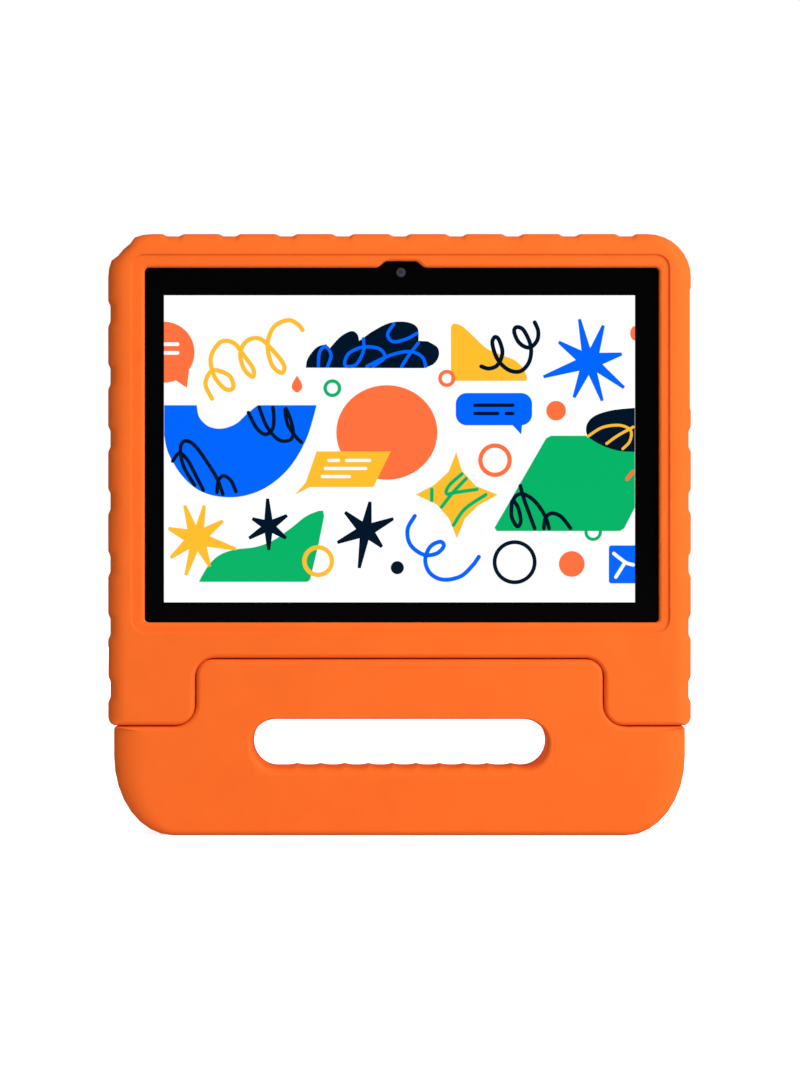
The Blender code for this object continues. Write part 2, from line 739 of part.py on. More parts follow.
def hinge_bush(name, side, material):
    """Blind flanged sleeve: the pin turns in it and the friction ring sits in its mouth."""
    bore = PIN_RADIUS + GAP
    seat_end = BUSH_START + RING_LENGTH + 2 * GAP
    profile = [
        (0.0, BUSH_END),
        (BUSH_RADIUS, BUSH_END),
        (BUSH_RADIUS, BUSH_START + BUSH_FLANGE),
        (BUSH_FLANGE_RADIUS, BUSH_START + BUSH_FLANGE),
        (BUSH_FLANGE_RADIUS, BUSH_START),
        (RING_SEAT_RADIUS, BUSH_START),
        (RING_SEAT_RADIUS, seat_end),
        (bore, seat_end),
        (bore, PIN_END + GAP),
        (0.0, PIN_END + GAP),
    ]
    return hinge_turning(name, profile, side, material)


def friction_ring(name, side, material):
    start = BUSH_START + GAP
    end = start + RING_LENGTH
    profile = [
        (RING_INNER, end),
        (RING_OUTER, end),
        (RING_OUTER, start),
        (RING_INNER, start),
        (RING_INNER, end),
    ]
    return hinge_turning(name, profile, side, material)


def hinge_turning(name, profile, side, material):
    """A turned hinge piece; the left one is the right one turned half a turn about Z."""
    piece = turned(name, profile, (HINGE_Y, HINGE_Z), "X")
    if side < 0:
        axis_point = Matrix.Translation((0, HINGE_Y, 0))
        half_turn = axis_point @ Matrix.Rotation(math.pi, 4, "Z") @ axis_point.inverted()
        piece.matrix_world = half_turn @ piece.matrix_world
    piece.data.materials.append(material)
    return piece


# ---------------------------------------------------------------- tablet housing and screen

def tablet_outline(inset):
    return rectangle(
        TABLET_X,
        TABLET_Z,
        TABLET_HALF_WIDTH - inset,
        TABLET_HALF_HEIGHT - inset,
        TABLET_CORNER - inset,
    )


def rear_cover(material):
    cover = extrusion("rear_cover", [tablet_outline(0)], COVER_RIM, TABLET_BACK)
    inside = tool_extrusion("cover_inside", [tablet_outline(COVER_WALL)], FRONT_OUT, COVER_FLOOR)
    cut(cover, inside)
    wall = (RIGHT_SIDE - COVER_WALL - MM, RIGHT_SIDE + MM)
    for name, z, half_length in (
        ("power_slot", POWER_Z, POWER_HALF_LENGTH),
        ("rocker_slot", ROCKER_Z, ROCKER_HALF_LENGTH),
    ):
        slot = rectangle(KEY_Y, z, KEY_HALF_DEPTH + GAP, half_length + GAP, KEY_SLOT_CORNER, steps=3)
        cut(cover, tool_extrusion(name, [slot], *wall, along="X"))
    usb = rectangle(
        USB_Y, USB_Z, USB_HALF_HEIGHT + GAP, USB_HALF_WIDTH + GAP, USB_CORNER, steps=4
    )
    cut(cover, tool_extrusion("usb_mouth", [usb], *wall, along="X"))
    cut(cover, tool_rod("jack_mouth", (JACK_Y, JACK_Z), JACK_NOSE + GAP, *wall, "X"))
    trim = (BACK_CAMERA_X, BACK_CAMERA_Z)
    floor = (COVER_FLOOR - MM, TABLET_BACK + MM)
    cut(cover, tool_rod("trim_seat", trim, TRIM_OUTER + GAP, *floor, "Y"))
    cut(cover, speaker_grille(), *screw_holes("cover", COVER_FLOOR - MM, SCREW_TIP + GAP))
    cover.data.materials.append(material)
    return cover


def speaker_grille():
    """Five short slots behind each speaker."""
    slots = []
    for centre in (-SPEAKER_X, SPEAKER_X):
        for index in SPEAKER_SLOTS:
            x = centre + index * GRILLE_PITCH
            slots.append(
                rectangle(
                    x, SPEAKER_Z, GRILLE_HALF_WIDTH, GRILLE_HALF_HEIGHT, GRILLE_CORNER, steps=2
                )
            )
    return tool_extrusion("grille", slots, COVER_FLOOR - MM, TABLET_BACK + MM)


def screw_holes(label, start, end):
    tools = []
    for index, place_on_board in enumerate(SCREW_PLACES, 1):
        name = f"{label}_screw_{index}"
        tools.append(tool_rod(name, place_on_board, SCREW_SHANK_RADIUS + GAP, start, end, "Y"))
    return tools


def front_glass(material):
    glass = extrusion("front_glass", [tablet_outline(0)], *GLASS)
    glass.data.materials.append(material)
    return glass


def inner_outline():
    return rectangle(TABLET_X, TABLET_Z, INNER_HALF_WIDTH, INNER_HALF_HEIGHT, INNER_CORNER)


def panel_window(margin):
    return rectangle(0, PANEL_Z, PANEL_HALF_WIDTH + margin, PANEL_HALF_HEIGHT + margin)


def camera_tunnel(label):
    return tool_rod(label, (CAMERA_X, CAMERA_Z), CAMERA_TUNNEL, *FRONT_TO_COVER, "Y")


def glass_adhesive(material):
    window = panel_window(ADHESIVE_MARGIN)
    ring = extrusion("glass_adhesive", [inner_outline(), window], *ADHESIVE)
    cut(ring, camera_tunnel("adhesive_camera"))
    ring.data.materials.append(material)
    return ring


def chassis_frame(material):
    window = panel_window(CHASSIS_MARGIN)
    frame = extrusion("chassis_frame", [inner_outline(), window], *CHASSIS)
    cut(frame, camera_tunnel("chassis_camera"))
    frame.data.materials.append(material)
    return frame


def display_panel(material):
    panel = box(
        "display_panel",
        about(0, PANEL_HALF_WIDTH),
        PANEL,
        about(PANEL_Z, PANEL_HALF_HEIGHT),
    )
    panel.data.materials.append(material)
    return panel


def light_guide(material):
    guide = box(
        "light_guide",
        about(0, PANEL_HALF_WIDTH - LIGHT_GUIDE_INSET),
        LIGHT_GUIDE,
        about(PANEL_Z, PANEL_HALF_HEIGHT - LIGHT_GUIDE_INSET),
    )
    guide.data.materials.append(material)
    return guide


def display_tray(material):
    """Sheet-metal tray behind the light guide, with windows that save weight."""
    outline = rectangle(0, PANEL_Z, PANEL_HALF_WIDTH, PANEL_HALF_HEIGHT, TRAY_CORNER, steps=3)
    windows = [
        rectangle(
            x,
            PANEL_Z,
            TRAY_WINDOW_HALF_WIDTH,
            TRAY_WINDOW_HALF_HEIGHT,
            TRAY_WINDOW_CORNER,
            steps=4,
        )
        for x in TRAY_WINDOWS
    ]
    tray = extrusion("display_tray", [outline, *windows], *TRAY)
    tray.data.materials.append(material)
    return tray


def display_ribbon(material):
    """Flat cable from the screen's lower edge round the tray to the main board."""
    inner_back = RIBBON_BACK - RIBBON_THICKNESS
    inner_bottom = RIBBON_BOTTOM + RIBBON_THICKNESS
    outline = rounded(
        [
            (RIBBON_FRONT, RIBBON_BOTTOM, 0),
            (RIBBON_BACK, RIBBON_BOTTOM, RIBBON_BEND + RIBBON_THICKNESS),
            (RIBBON_BACK, RIBBON_TOP, 0),
            (inner_back, RIBBON_TOP, 0),
            (inner_back, inner_bottom, RIBBON_BEND),
            (RIBBON_FRONT, inner_bottom, 0),
        ],
        steps=4,
    )
    ribbon = extrusion("display_ribbon", [outline], *RIBBON_SPAN, along="X")
    ribbon.data.materials.append(material)
    return ribbon


# ---------------------------------------------------------------- battery and board

def battery_cell(name, x_span, material):
    cell = box(name, x_span, CELLS, (CELL_BOTTOM, CELL_TOP))
    soften(cell, MM, segments=2)
    cell.data.materials.append(material)
    return cell


def battery_lead(name, z, material):
    """Short insulated wire from the right cell to the plug on the main board."""
    start_x = CELL_SPANS["right"][1] + GAP
    curve = bpy.data.curves.new(name, "CURVE")
    curve.dimensions = "3D"
    curve.bevel_depth = LEAD_RADIUS
    curve.bevel_resolution = 2
    curve.use_fill_caps = True
    spline = curve.splines.new("POLY")
    spline.points.add(LEAD_POINTS - 1)
    for index, point in enumerate(spline.points):
        share = index / (LEAD_POINTS - 1)
        ease = share * share * (3 - 2 * share)
        x = start_x + (LEAD_END_X - start_x) * share
        y = LEAD_START_Y + (LEAD_END_Y - LEAD_START_Y) * ease
        point.co = (x, y, z, 1.0)
    guide = bpy.data.objects.new(name + "_guide", curve)
    PARTS.objects.link(guide)
    lead = mesh_from(guide, name, PARTS)
    smooth(lead)
    lead.data.materials.append(material)
    return lead


def main_board(material):
    middle_x = (BOARD_LEFT + BOARD_RIGHT) / 2
    middle_z = (BOARD_BOTTOM + BOARD_TOP) / 2
    half_x = (BOARD_RIGHT - BOARD_LEFT) / 2
    half_z = (BOARD_TOP - BOARD_BOTTOM) / 2
    outline = rectangle(middle_x, middle_z, half_x, half_z, BOARD_CORNER, steps=3)
    board = extrusion("main_board", [outline], *BOARD)
    cut(board, *screw_holes("board", BOARD[0] - MM, BOARD[1] + MM))
    board.data.materials.append(material)
    return board


def shield_can(name, x, z, half_x, half_z, material):
    """Pressed metal lid over a chip, open towards the board."""
    can = box(name, about(x, half_x), (SHIELD_FRONT, CHIP_BACK), about(z, half_z))
    inside = tool_box(
        name + "_inside",
        about(x, half_x - SHIELD_WALL),
        (SHIELD_FRONT + SHIELD_WALL, CHIP_BACK + MM),
        about(z, half_z - SHIELD_WALL),
    )
    cut(can, inside)
    can.data.materials.append(material)
    return can


def chip(name, x, z, half_x, half_z, thickness, material):
    block = box(name, about(x, half_x), (CHIP_BACK - thickness, CHIP_BACK), about(z, half_z))
    block.data.materials.append(material)
    return block


def board_screw(name, spot, material):
    head_front = CHIP_BACK - SCREW_HEAD_HEIGHT
    profile = [
        (0.0, -head_front),
        (SCREW_HEAD_RADIUS, -head_front),
        (SCREW_HEAD_RADIUS, -CHIP_BACK),
        (SCREW_SHANK_RADIUS, -CHIP_BACK),
        (SCREW_SHANK_RADIUS, -SCREW_TIP),
        (0.0, -SCREW_TIP),
    ]
    screw = turned(name, profile, spot, "Y", steps=12)
    screw.data.materials.append(material)
    return screw


# ---------------------------------------------------------------- sound, cameras and sockets

def speaker(name, x, material):
    body = box(name, about(x, SPEAKER_HALF_WIDTH), CELLS, SPEAKER_SPAN)
    soften(body, MM, segments=1)
    body.data.materials.append(material)
    return body


def front_camera(material):
    base = box(
        "front_camera",
        about(CAMERA_X, FRONT_CAMERA_HALF),
        FRONT_CAMERA_BASE,
        about(CAMERA_Z, FRONT_CAMERA_HALF),
    )
    spot = (CAMERA_X, CAMERA_Z)
    join(base, tool_rod("front_barrel", spot, FRONT_BARREL_RADIUS, *FRONT_BARREL, "Y"))
    base.data.materials.append(material)
    return base


def rear_camera(material):
    base = box(
        "rear_camera",
        about(BACK_CAMERA_X, REAR_CAMERA_HALF),
        REAR_CAMERA_BASE,
        about(BACK_CAMERA_Z, REAR_CAMERA_HALF),
    )
    spot = (BACK_CAMERA_X, BACK_CAMERA_Z)
    join(base, tool_rod("rear_barrel", spot, REAR_BARREL_RADIUS, *REAR_BARREL, "Y"))
    base.data.materials.append(material)
    return base


def rear_camera_lens(material):
    spot = (BACK_CAMERA_X, BACK_CAMERA_Z)
    lens = rod("rear_camera_lens", spot, REAR_LENS_RADIUS, *REAR_LENS, "Y")
    lens.data.materials.append(material)
    return lens


def rear_camera_trim(material):
    profile = [
        (TRIM_INNER, -TRIM_FRONT),
        (TRIM_OUTER, -TRIM_FRONT),
        (TRIM_OUTER, -TABLET_BACK),
        (TRIM_INNER, -TABLET_BACK),
        (TRIM_INNER, -TRIM_FRONT),
    ]
    trim = turned("rear_camera_trim", profile, (BACK_CAMERA_X, BACK_CAMERA_Z), "Y")
    trim.data.materials.append(material)
    return trim


def usb_c_socket(material):
    shell_outline = rectangle(USB_Y, USB_Z, USB_HALF_HEIGHT, USB_HALF_WIDTH, USB_CORNER, steps=4)
    socket = extrusion("usb_c_socket", [shell_outline], USB_START, USB_END, along="X")
    mouth = rectangle(
        USB_Y,
        USB_Z,
        USB_HALF_HEIGHT - USB_WALL,
        USB_HALF_WIDTH - USB_WALL,
        USB_INNER_CORNER,
        steps=4,
    )
    cut(socket, tool_extrusion("usb_hollow", [mouth], USB_START + MM, USB_END + MM, along="X"))
    tongue = tool_box(
        "usb_tongue",
        USB_TONGUE,
        about(USB_Y, USB_TONGUE_HALF_DEPTH),
        about(USB_Z, USB_TONGUE_HALF_WIDTH),
    )
    join(socket, tongue)
    socket.data.materials.append(material)
    return socket


def headphone_jack(material):
    body_end = RIGHT_SIDE - COVER_WALL - GAP
    socket = box(
        "headphone_jack",
        (JACK_START, body_end),
        about(JACK_Y, JACK_HALF_DEPTH),
        about(JACK_Z, JACK_HALF_HEIGHT),
    )
    spot = (JACK_Y, JACK_Z)
    join(socket, tool_rod("jack_nose", spot, JACK_NOSE, body_end - MM, RIGHT_SIDE, "X"))
    cut(socket, tool_rod("jack_bore", spot, JACK_BORE, JACK_BORE_START, RIGHT_SIDE + MM, "X"))
    socket.data.materials.append(material)
    return socket


# ---------------------------------------------------------------- side keys

def side_key(name, z, half_length, material):
    """Moulded key cap with a flange that keeps it inside the housing wall."""
    cap_outline = rectangle(KEY_Y, z, KEY_HALF_DEPTH, half_length, KEY_CORNER, steps=3)
    key = extrusion(name, [cap_outline], KEY_CAP_START, KEY_FACE, along="X")
    flange = tool_box(
        name + "_flange",
        KEY_FLANGE,
        about(KEY_Y, KEY_HALF_DEPTH + KEY_FLANGE_DEPTH_MARGIN),
        about(z, half_length + KEY_FLANGE_LENGTH_MARGIN),
    )
    join(key, flange)
    key.data.materials.append(material)
    return key


def key_strip(material):
    """Stiffened flexible circuit that carries the three switches."""
    strip = box("key_strip", KEY_STRIP, about(KEY_Y, KEY_STRIP_HALF_DEPTH), KEY_STRIP_SPAN)
    strip.data.materials.append(material)
    return strip


def key_switch(name, z, material):
    """Dome switch with its plunger towards the key."""
    switch = box(
        name, SWITCH, about(KEY_Y, SWITCH_HALF_DEPTH), about(z, SWITCH_HALF_HEIGHT)
    )
    join(switch, tool_rod(name + "_plunger", (KEY_Y, z), PLUNGER_RADIUS, *PLUNGER, "X"))
    switch.data.materials.append(material)
    return switch


# ---------------------------------------------------------------- moving groups

def pivot(name, location, *pieces):
    """Empty on a joint's axis that carries the pieces of one moving body."""
    empty = bpy.data.objects.new(name, None)
    empty.location = location
    empty.hide_render = True
    PARTS.objects.link(empty)
    for piece in pieces:
        piece.parent = empty
        piece.matrix_parent_inverse = Matrix.Translation(location).inverted()
    return empty


def build():
    foam = principled("orange_foam", (0.96, 0.17, 0.03), 0.75)
    dark_plastic = principled("dark_plastic", (0.03, 0.03, 0.035), 0.45)
    grey_plastic = principled("grey_plastic", (0.35, 0.36, 0.38), 0.5)
    steel = principled("steel", (0.62, 0.62, 0.64), 0.3, 1.0)
    rubber = principled("rubber", (0.05, 0.05, 0.05), 0.8)
    glass = principled("screen_glass", (0.01, 0.01, 0.012), 0.06)
    lens = principled("lens_glass", (0.02, 0.02, 0.04), 0.05)
    adhesive = principled("adhesive", (0.08, 0.08, 0.08), 0.7)
    screen = principled("screen_panel", (0.9, 0.9, 0.88), 0.3)
    diffuser = principled("diffuser", (0.95, 0.95, 0.93), 0.4)
    tray_metal = principled("tray_metal", (0.72, 0.72, 0.7), 0.35, 1.0)
    copper_film = principled("flat_cable", (0.55, 0.3, 0.08), 0.5)
    foil = principled("cell_foil", (0.6, 0.61, 0.63), 0.35, 0.6)
    red_wire = principled("red_wire", (0.6, 0.02, 0.02), 0.5)
    black_wire = principled("black_wire", (0.02, 0.02, 0.02), 0.5)
    board_green = principled("board_green", (0.02, 0.16, 0.06), 0.45)
    chip_black = principled("chip_black", (0.02, 0.02, 0.02), 0.55)

    foam_case(foam)
    handle = handle_foam(foam)
    core = handle_core(grey_plastic)
    pins = []
    for side, word in ((-1, "left"), (1, "right")):
        pins.append(hinge_pin(f"hinge_pin_{word}", side, steel))
        hinge_bush(f"hinge_bush_{word}", side, dark_plastic)
        friction_ring(f"friction_ring_{word}", side, rubber)

    rear_cover(dark_plastic)
    front_glass(glass)
    glass_adhesive(adhesive)
    chassis_frame(grey_plastic)
    display_panel(screen)
    light_guide(diffuser)
    display_tray(tray_metal)
    display_ribbon(copper_film)

    for word, span in CELL_SPANS.items():
        battery_cell(f"battery_cell_{word}", span, foil)
    battery_lead("battery_lead_red", RED_LEAD_Z, red_wire)
    battery_lead("battery_lead_black", BLACK_LEAD_Z, black_wire)
    main_board(board_green)
    chip("battery_plug", *BATTERY_PLUG, diffuser)
    shield_can("processor_shield", *PROCESSOR_SHIELD, tray_metal)
    chip("processor", *PROCESSOR, chip_black)
    chip("memory_chip", *MEMORY_CHIP, chip_black)
    shield_can("radio_shield", *RADIO_SHIELD, tray_metal)
    chip("radio_chip", *RADIO_CHIP, chip_black)
    chip("microphone", *MICROPHONE, tray_metal)
    for index, spot in enumerate(SCREW_PLACES, 1):
        board_screw(f"board_screw_{index}", spot, steel)
    antenna = box("antenna_film", *ANTENNA)
    antenna.data.materials.append(copper_film)

    speaker("speaker_left", -SPEAKER_X, chip_black)
    speaker("speaker_right", SPEAKER_X, chip_black)
    front_camera(chip_black)
    rear_camera(chip_black)
    rear_camera_lens(lens)
    rear_camera_trim(grey_plastic)
    usb_c_socket(steel)
    headphone_jack(chip_black)

    power = side_key("power_button", POWER_Z, POWER_HALF_LENGTH, dark_plastic)
    rocker = side_key("volume_rocker", ROCKER_Z, ROCKER_HALF_LENGTH, dark_plastic)
    key_strip(copper_film)
    key_switch("power_switch", POWER_Z, grey_plastic)
    key_switch("volume_up_switch", ROCKER_Z + SWITCH_OFFSET, grey_plastic)
    key_switch("volume_down_switch", ROCKER_Z - SWITCH_OFFSET, grey_plastic)

    pivot("handle_pivot", (0, HINGE_Y, HINGE_Z), handle, core, *pins)
    pivot("power_button_guide", (KEY_FLANGE[0], KEY_Y, POWER_Z), power)
    pivot("volume_rocker_pivot", (ROCKER_PIVOT_X, KEY_Y, ROCKER_Z), rocker)


build()
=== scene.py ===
"""Looks of the kids' tablet: soft foam case, folding foam handle, lit screen and the pieces they hold.

Shapes are worked out in millimetres and scaled when a mesh is made. X runs to the viewer's right,
-Y is the screen side and +Z is up. Outlines run counter-clockwise as the viewer sees them.
"""

import json
import math
from collections import namedtuple

import bmesh
import bpy
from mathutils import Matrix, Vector, geometry


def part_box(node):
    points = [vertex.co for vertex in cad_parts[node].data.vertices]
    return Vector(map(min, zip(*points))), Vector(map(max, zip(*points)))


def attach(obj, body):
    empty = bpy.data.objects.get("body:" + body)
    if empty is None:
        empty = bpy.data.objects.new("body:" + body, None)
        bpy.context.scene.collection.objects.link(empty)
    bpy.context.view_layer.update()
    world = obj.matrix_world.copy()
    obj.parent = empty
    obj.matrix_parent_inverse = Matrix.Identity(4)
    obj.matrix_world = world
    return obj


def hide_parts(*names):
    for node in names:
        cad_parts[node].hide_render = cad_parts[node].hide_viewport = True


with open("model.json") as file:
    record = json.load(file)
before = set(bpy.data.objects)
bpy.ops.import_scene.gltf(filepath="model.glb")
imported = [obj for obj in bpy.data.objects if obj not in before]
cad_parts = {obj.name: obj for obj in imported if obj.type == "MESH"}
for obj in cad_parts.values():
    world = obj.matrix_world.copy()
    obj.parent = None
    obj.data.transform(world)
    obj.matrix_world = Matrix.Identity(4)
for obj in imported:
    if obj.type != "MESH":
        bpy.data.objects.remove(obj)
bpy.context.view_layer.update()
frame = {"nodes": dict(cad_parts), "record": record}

MM = 0.001


def spans(node):
    """Lowest and highest corner of a CAD node in millimetres."""
    low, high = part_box(node)
    return low / MM, high / MM


# ---------------------------------------------------------------- sizes in millimetres

CASE_LOW, CASE_HIGH = spans("foam_case")
HANDLE_HIGH = spans("handle_foam")[1]
GLASS_LOW, GLASS_HIGH = spans("front_glass")
PANEL_LOW, PANEL_HIGH = spans("display_panel")
CAMERA_LOW, CAMERA_HIGH = spans("front_camera")
REAR_LOW, REAR_HIGH = spans("rear_camera_trim")
SPEAKER_LOW, SPEAKER_HIGH = spans("speaker_right")
BUSH_LOW, BUSH_HIGH = spans("hinge_bush_right")
PIN_LOW, PIN_HIGH = spans("hinge_pin_right")
CORE_LOW, CORE_HIGH = spans("handle_core")

HALF_DEPTH = CASE_HIGH.y
GAP = 0.3
SEAM = 0.5
SLIVER = 0.02  # least straight stretch between two arcs
GUARD = 0.3  # width of the flat strip that keeps a rounded edge's shading off a flat face
SHARP = 32.0  # degrees between faces past which their edge is shaded sharp
PAST = 1.0  # how far a cutter goes on past the wall that it cuts
CLOSE = 0.01  # points nearer than this are one

CASE_SIDE = CASE_HIGH.x
CASE_TOP = CASE_HIGH.z
CASE_CORNER = 20.0
SHOULDER_BOTTOM = CASE_LOW.z
SHOULDER_CORNER = 4.0
HANDLE_SIDE = HANDLE_HIGH.x
HANDLE_CORNER_X = 27.6
HANDLE_CORNER_Z = 36.0
ARM_TOP = SHOULDER_BOTTOM - SEAM
ARM_CORNER = 2.0
TONGUE_SIDE = 93.1
TONGUE_TOP = HANDLE_HIGH.z
TONGUE_CORNER = 8.3
TONGUE_ROOT = 10.6
PINCH = 1.13  # how much sharper the seam's outer corners are, so that no light passes them
FRONT_LAYER = -2.0  # behind this depth the corners that the tongue turns past are square
SQUARE = 0.8
TURN_SQUARE = 0.1  # depth over which they turn square

TABLET_X = (GLASS_LOW.x + GLASS_HIGH.x) / 2
TABLET_Z = (GLASS_LOW.z + GLASS_HIGH.z) / 2
TABLET_HALF_WIDTH = (GLASS_HIGH.x - GLASS_LOW.x) / 2
TABLET_HALF_HEIGHT = (GLASS_HIGH.z - GLASS_LOW.z) / 2
TABLET_CORNER = 8.0
GLASS_FRONT = GLASS_LOW.y
POCKET_FRONT = GLASS_FRONT - GAP
POCKET_BACK = 1.0
LIP_FRONT = -11.5
STEP_HALF_WIDTH = 123.05
STEP_HALF_HEIGHT = 86.4
STEP_CORNER = 6.0
VIEW_X = 1.05
VIEW_Z = 178.8
VIEW_HALF_WIDTH = 117.85
VIEW_HALF_HEIGHT = 81.3
VIEW_CORNER = 2.0
LIP_ROUNDING = 1.5
LENS_X = (CAMERA_LOW.x + CAMERA_HIGH.x) / 2
LENS_Z = (CAMERA_LOW.z + CAMERA_HIGH.z) / 2
LENS_PIECES = (("lens_ring", 2.1, 0.05), ("lens_dome", 1.1, 0.14))  # name, radius, rise
LENS_PROFILE = ((0, 0), (0, 0.5), (0.18, 0.85), (0.5, 1))  # insets and heights, as shares of those
NOTCH_FOOT = 10.6
NOTCH_HEAD = 7.2
NOTCH_TOP = 263.1
NOTCH_FOOT_CORNER = 1.4
NOTCH_HEAD_CORNER = 1.2

STEP_ROUNDINGS = (0.45, 0.35)  # edge, foot
BUSH_FLANGE = (0.6, 1.2)  # how far it stands out from the barrel, and its thickness
CORE_ROOM_CORNER = 0.5

PANEL_RECESS = 3.0
RECESS_HALF_WIDTH = 104.0
RECESS_BOTTOM = 118.0
RECESS_TOP = 228.0
RECESS_CORNER = 12.0
RIB_HALF_WIDTH = 88.0
RIB_HALF_HEIGHT = 3.2
RIB_PITCH = 16.0
RIB_RISE = 1.4
RECESS_ROUNDINGS = (1.2, 0.8)  # rim, foot
RIB_ROUNDINGS = (0.4, 0.9)  # foot, crown
WINDOW_Y = -2.0
WINDOW_Z = 223.0
WINDOW_HALF_DEPTH = 6.0
WINDOW_HALF_HEIGHT = 27.5
WINDOW_CORNER = 1.0
WINDOW_FLARE = 1.5
SPEAKER_SLOT_PITCH = 5.6
SPEAKER_SLOT_HALF_WIDTH = 1.6
SPEAKER_SLOT_HALF_HEIGHT = 5.0
REAR_HALF_HOLE = 7.0
REAR_HOLE_CORNER = 1.5
REAR_HOLE_ROUNDING = 1.6
SPEAKER_SLOT_ROUNDING = 0.5

SLOT_HALF_WIDTH = 67.8
SLOT_BOTTOM = 30.8
SLOT_TOP = 53.4
RIDGES = 10
RIDGE_PITCH = 11.04
RIDGE_CENTRE = 2.1
RIDGE_HEIGHT = 0.7
SLOT_FLARES = ((3.6, 5.0), (2.2, 3.0), (0.9, 1.2), (2.2, 3.0))  # width, depth on each side

GRIP_DEPTH = 1.05
GRIP_REACH = 7.6
TOP_GRIPS = 4  # on each side of the middle one
TOP_GRIP_PITCH = 26.0
TOP_GRIP_HALF = 5.2
SIDE_GRIP_FIRST = 66.7
SIDE_GRIP_PITCH = 28.75
SIDE_GRIP_HALF = 6.4
LEFT_GRIPS = 7
RIGHT_GRIPS = 5
CORNER_GRIP_DEPTH = 1.7
CORNER_GRIP_HALF = 7.6

# ---------------------------------------------------------------- outlines and shells

Corner = namedtuple("Corner", "x z before after")
Edge = namedtuple("Edge", "front back spacing")


def corner(x, z, radius):
    return Corner(x, z, radius, radius)


def rectangle(x, z, half_x, half_z, radius):
    radius = min(radius, half_x - SLIVER, half_z - SLIVER)
    return [
        corner(x - half_x, z - half_z, radius),
        corner(x + half_x, z - half_z, radius),
        corner(x + half_x, z + half_z, radius),
        corner(x - half_x, z + half_z, radius),
    ]


def steady(share):
    """Smooth step from 0 to 1."""
    share = min(max(share, 0.0), 1.0)
    return share * share * (3 - 2 * share)


def per_edge(value, count):
    return list(value) if isinstance(value, (list, tuple)) else [value] * count


def edge_pieces(corners, spacings):
    """How many straight pieces each edge is divided into, at about the given spacing."""
    pieces = []
    for index, (start, spacing) in enumerate(zip(corners, spacings)):
        end = corners[(index + 1) % len(corners)]
        length = abs(end.x - start.x) + abs(end.z - start.z) - start.after - end.before
        pieces.append(max(1, round(length / spacing)))
    return pieces


def ring(corners, insets, depths, pieces=None, tighten=1.0, steps=8):
    """Points of an outline whose edges are moved inwards, each edge at its own depth along Y.

    A corner's arc keeps its centre as the edges move, or shrinks faster if tighten is above 1.
    """
    count = len(corners)
    insets = per_edge(insets, count)
    depths = per_edge(depths, count)
    pieces = pieces or [1] * count
    spots = [Vector((c.x, c.z)) for c in corners]
    ways = [(spots[(i + 1) % count] - spots[i]).normalized() for i in range(count)]
    arcs = []
    for i, spot in enumerate(spots):
        arrive, leave = ways[i - 1], ways[i]
        turn = math.atan2(arrive.cross(leave), arrive.dot(leave))
        inset_in, inset_out = insets[i - 1], insets[i]
        shift = (leave * inset_in - arrive * inset_out) / math.sin(turn)
        tangent = math.tan(turn / 2) * tighten
        before = max(corners[i].before - inset_out * tangent, GUARD)
        after = max(corners[i].after - inset_in * tangent, GUARD)
        arc = []
        for step in range(steps + 1):
            angle = math.pi / 2 * step / steps
            point = spot + shift - arrive * before * (1 - math.sin(angle))
            point += leave * after * (1 - math.cos(angle))
            share = steady(step / steps)
            depth = depths[i - 1] * (1 - share) + depths[i] * share
            arc.append(Vector((point.x, depth, point.y)))
        arcs.append(arc)
    points = []
    for i, arc in enumerate(arcs):
        points += arc
        following = arcs[(i + 1) % count][0]
        points += [arc[-1].lerp(following, n / pieces[i]) for n in range(1, pieces[i])]
    return points


class Shell:
    """A mesh made of rings joined by quads and of flat faces between rings."""

    def __init__(self):
        self.mesh = bmesh.new()

    def add(self, points):
        return [self.mesh.verts.new(point) for point in points]

    def join(self, near, far):
        for i in range(len(near)):
            self.mesh.faces.new((near[i - 1], near[i], far[i], far[i - 1]))

    def loft(self, rings):
        """Joins rings of points in turn, and returns the first and last as vertices."""
        made = [self.add(points) for points in rings]
        for near, far in zip(made, made[1:]):
            self.join(near, far)
        return made[0], made[-1]

    def fill(self, outer, holes=(), across=(0, 2)):
        """Flat triangles inside one loop of vertices and outside others."""
        loops = [outer, *holes]
        verts = [v for loop in loops for v in loop]
        flat = [Vector((v.co[across[0]], v.co[across[1]])) for v in verts]
        numbers = iter(range(len(verts)))
        faces = [[next(numbers) for _ in loop] for loop in loops]
        for face in faces:
            if sum(flat[face[i - 1]].cross(flat[n]) for i, n in enumerate(face)) < 0:
                face.reverse()
        made = geometry.delaunay_2d_cdt(flat, [], faces, 1, 0.00001)
        triangles, origins, owners = made[2], made[3], made[5]
        for triangle, owner in zip(triangles, owners):
            if owner == [0]:
                self.mesh.faces.new([verts[origins[i][0]] for i in triangle])

    def piece(self, name, materials, sharp=SHARP):
        """Object of the finished shell, in metres."""
        bmesh.ops.recalc_face_normals(self.mesh, faces=self.mesh.faces)
        bmesh.ops.scale(self.mesh, vec=(MM, MM, MM), verts=self.mesh.verts)
        data = bpy.data.meshes.new(name)
        self.mesh.to_mesh(data)
        self.mesh.free()
        thing = bpy.data.objects.new(name, data)
        bpy.context.scene.collection.objects.link(thing)
        for each in materials:
            data.materials.append(each)
        data.shade_smooth()
        data.set_sharp_from_angle(angle=math.radians(sharp))
        return thing


def quarter_angles(steps):
    return [math.pi / 2 * step / steps for step in range(steps + 1)]


# ---------------------------------------------------------------- foam

